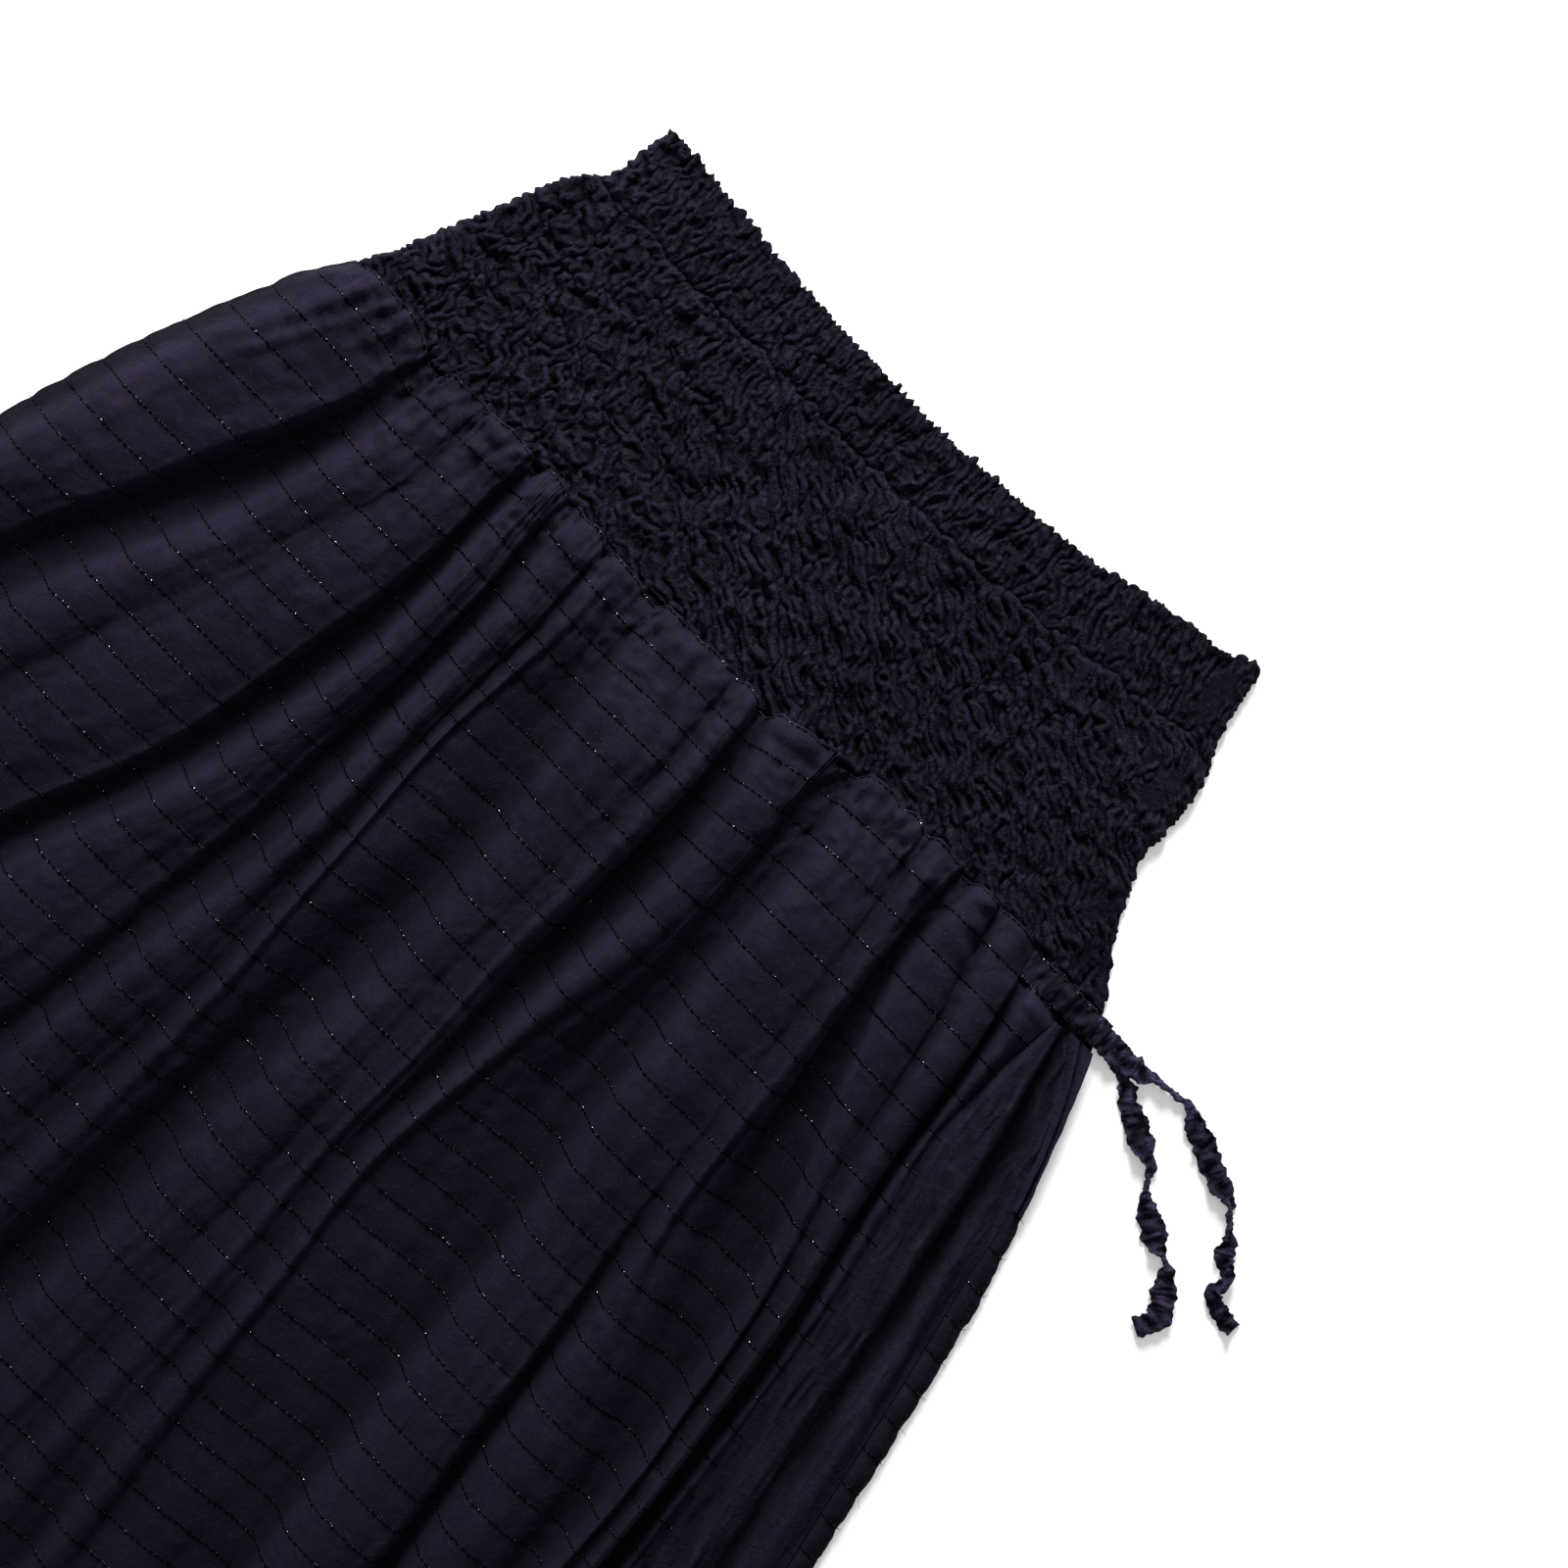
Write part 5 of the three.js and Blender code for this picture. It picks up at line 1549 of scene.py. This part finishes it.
class SKIRT_OT_threads(bpy.types.Operator):
    """Weave the black threads across the panels, with their stubs and tufts"""

    bl_idname = "skirt.threads"
    bl_label = "Threads"

    def execute(self, context):
        radius = user_size("thread_radius")
        downs = thread_downs(user_size("thread_pitch"))
        points, _, nominal = front_panel_now()
        edge_points, _, edge_nominal = turned_edge_surface(user_size("thread_pitch"))
        gore_points, _, gore_nominal = gore_surface()
        back_points, _, back_nominal = back_panel_surface()
        casing_points, _ = casing_surface()
        shown = [down for down in downs if down > EDGE_TOP + EDGE_BARE]
        back = [woven_path(row_at(back_points, back_nominal, down), 2.2, 0.12, 0.2, 400 + index, -1)
                for index, down in enumerate(downs)]
        for path in back:
            path[:, 2] = np.maximum(path[:, 2], radius * MM)
        threads = {
            "front_threads": [
                woven_path(row_at(points, nominal, down), 1.05, 0.30, 0.35, 200 + index)
                for index, down in enumerate(downs)],
            "edge_threads": [
                woven_path(row_at(edge_points, edge_nominal, down)[:11], 0.8, 0.25, 0.3, 300 + index)
                for index, down in enumerate(shown)],
            "casing_threads": [
                woven_path(casing_points[8:, lane], 1.05, 0.25, 0.3, 390 + lane) for lane in (4, 18)],
            "gore_thread_stubs": [
                row_at(gore_points, gore_nominal, down)[:4 + index % 3] + np.array([0, 0, 0.2 * MM])
                for index, down in enumerate(downs) if down > GORE_TOP + 4],
            "back_threads": back,
            "thread_tufts": self.tufts(points, nominal, edge_points, edge_nominal, downs),
        }
        radii = {"gore_thread_stubs": radius * 0.8, "thread_tufts": TUFT_RADIUS}
        for name, paths in threads.items():
            mesh = tube_mesh(name, paths, radii.get(name, radius))
            link_piece(name, mesh, black_thread())
        return {"FINISHED"}

    def tufts(self, points, nominal, edge_points, edge_nominal, downs):
        """Short curved fibres at the threads' ends: a start, a direction and a bend each."""
        random = np.random.default_rng(7)
        share = np.linspace(0, 1, 6)[:, None]
        fibres = []
        for down in downs:
            starts = [(row_at(points, nominal, down)[0], -1)]
            if down > EDGE_TOP + EDGE_BARE:
                starts.append((row_at(edge_points, edge_nominal, down)[9], 1))
            for start, way in starts:
                for _ in range(random.integers(1, 4)):
                    out = np.array([way, random.normal(0, 0.8), random.uniform(0.0, 0.5)])
                    bend = random.normal(0, 0.6, 3) * np.array([1, 1, 0.2])
                    reach = random.uniform(0.8, 2.4) * MM
                    path = start + reach * (share * out + share**2 * bend)
                    path[:, 2] = np.maximum(path[:, 2], 0.1 * MM)
                    fibres.append(path)
        return fibres


class SKIRT_OT_stage(bpy.types.Operator):
    """Lay the white floor, set soft light and place the camera straight above"""

    bl_idname = "skirt.stage"
    bl_label = "Stage"

    def execute(self, context):
        scene = context.scene
        corners = np.array([[-1, 1, 0], [-1, -1, 0], [1, -1, 0], [1, 1, 0]]) * FLOOR_HALF
        mesh = build_mesh("floor", corners, np.array([[0, 1, 2, 3]]), corners[:, :2])
        mesh.materials.append(white_paper())
        floor = self.put(scene, "floor", mesh)

        middle = to_world(*PICTURE_MIDDLE)
        photo_up = np.array([-1.0, 1.0, 0.0]) / math.sqrt(2)
        photo_right = np.array([1.0, 1.0, 0.0]) / math.sqrt(2)
        for row in LIGHTS:
            data = bpy.data.lights.new(row["name"], "AREA")
            data.shape = "SQUARE"
            data.size = row["size"]
            data.energy = row["power"]
            data.color = row["colour"]
            light = self.put(scene, row["name"], data)
            level = row["up"] * photo_up + row["right"] * photo_right
            place = middle + level + np.array([0, 0, row["height"]])
            light.location = place.tolist()
            light.rotation_mode = "QUATERNION"
            light.rotation_quaternion = Vector(middle - place).to_track_quat("-Z", "Y")

        world = bpy.data.worlds.new("white_room")
        scene.world = world
        world.use_nodes = True
        room = {"Color": (1, 1, 1, 1), "Strength": ROOM_LIGHT}
        fill(world.node_tree, world.node_tree.nodes["Background"], room)
        scene.view_settings.view_transform = "Standard"

        data = bpy.data.cameras.new("camera")
        data.lens = LENS
        data.sensor_width = SENSOR_WIDTH
        camera = self.put(scene, "camera", data)
        camera.location = (middle + np.array([0, 0, CAMERA_HEIGHT])).tolist()
        camera.rotation_euler = (0, 0, math.radians(45))
        scene.camera = camera
        return {"FINISHED"}

    def put(self, scene, name, data):
        """Links a new object to the scene."""
        thing = bpy.data.objects.new(name, data)
        scene.collection.objects.link(thing)
        return thing


class SKIRT_PT_panel(bpy.types.Panel):
    """The skirt's sizes, colours and operators"""

    bl_idname = "SKIRT_PT_panel"
    bl_label = "Midi skirt"
    bl_space_type = "VIEW_3D"
    bl_region_type = "UI"
    bl_category = "Skirt"

    def draw(self, context):
        for name in ("fold_lift", "puff_height", "thread_pitch", "thread_radius"):
            self.layout.prop(context.scene.skirt_shape, name)
        for name in ("deep_dye", "light_dye", "floor_colour"):
            self.layout.prop(context.scene.skirt_finish, name)
        for operator in OPERATORS:
            self.layout.operator(operator.bl_idname)


OPERATORS = (
    SKIRT_OT_stage,
    SKIRT_OT_front_panel,
    SKIRT_OT_back_panel,
    SKIRT_OT_gore,
    SKIRT_OT_yoke,
    SKIRT_OT_heading,
    SKIRT_OT_ties,
    SKIRT_OT_threads,
)
CLASSES = (SkirtShape, SkirtFinish, *OPERATORS, SKIRT_PT_panel)


def register():
    for item in CLASSES:
        bpy.utils.register_class(item)
    bpy.types.Scene.skirt_shape = bpy.props.PointerProperty(type=SkirtShape)
    bpy.types.Scene.skirt_finish = bpy.props.PointerProperty(type=SkirtFinish)


def unregister():
    del bpy.types.Scene.skirt_finish
    del bpy.types.Scene.skirt_shape
    for item in reversed(CLASSES):
        bpy.utils.unregister_class(item)


def main():
    register()
    bpy.ops.skirt.stage()
    bpy.ops.skirt.front_panel()
    bpy.ops.skirt.back_panel()
    bpy.ops.skirt.gore()
    bpy.ops.skirt.yoke()
    bpy.ops.skirt.heading()
    bpy.ops.skirt.ties()
    bpy.ops.skirt.threads()


if __name__ == "__main__":
    main()
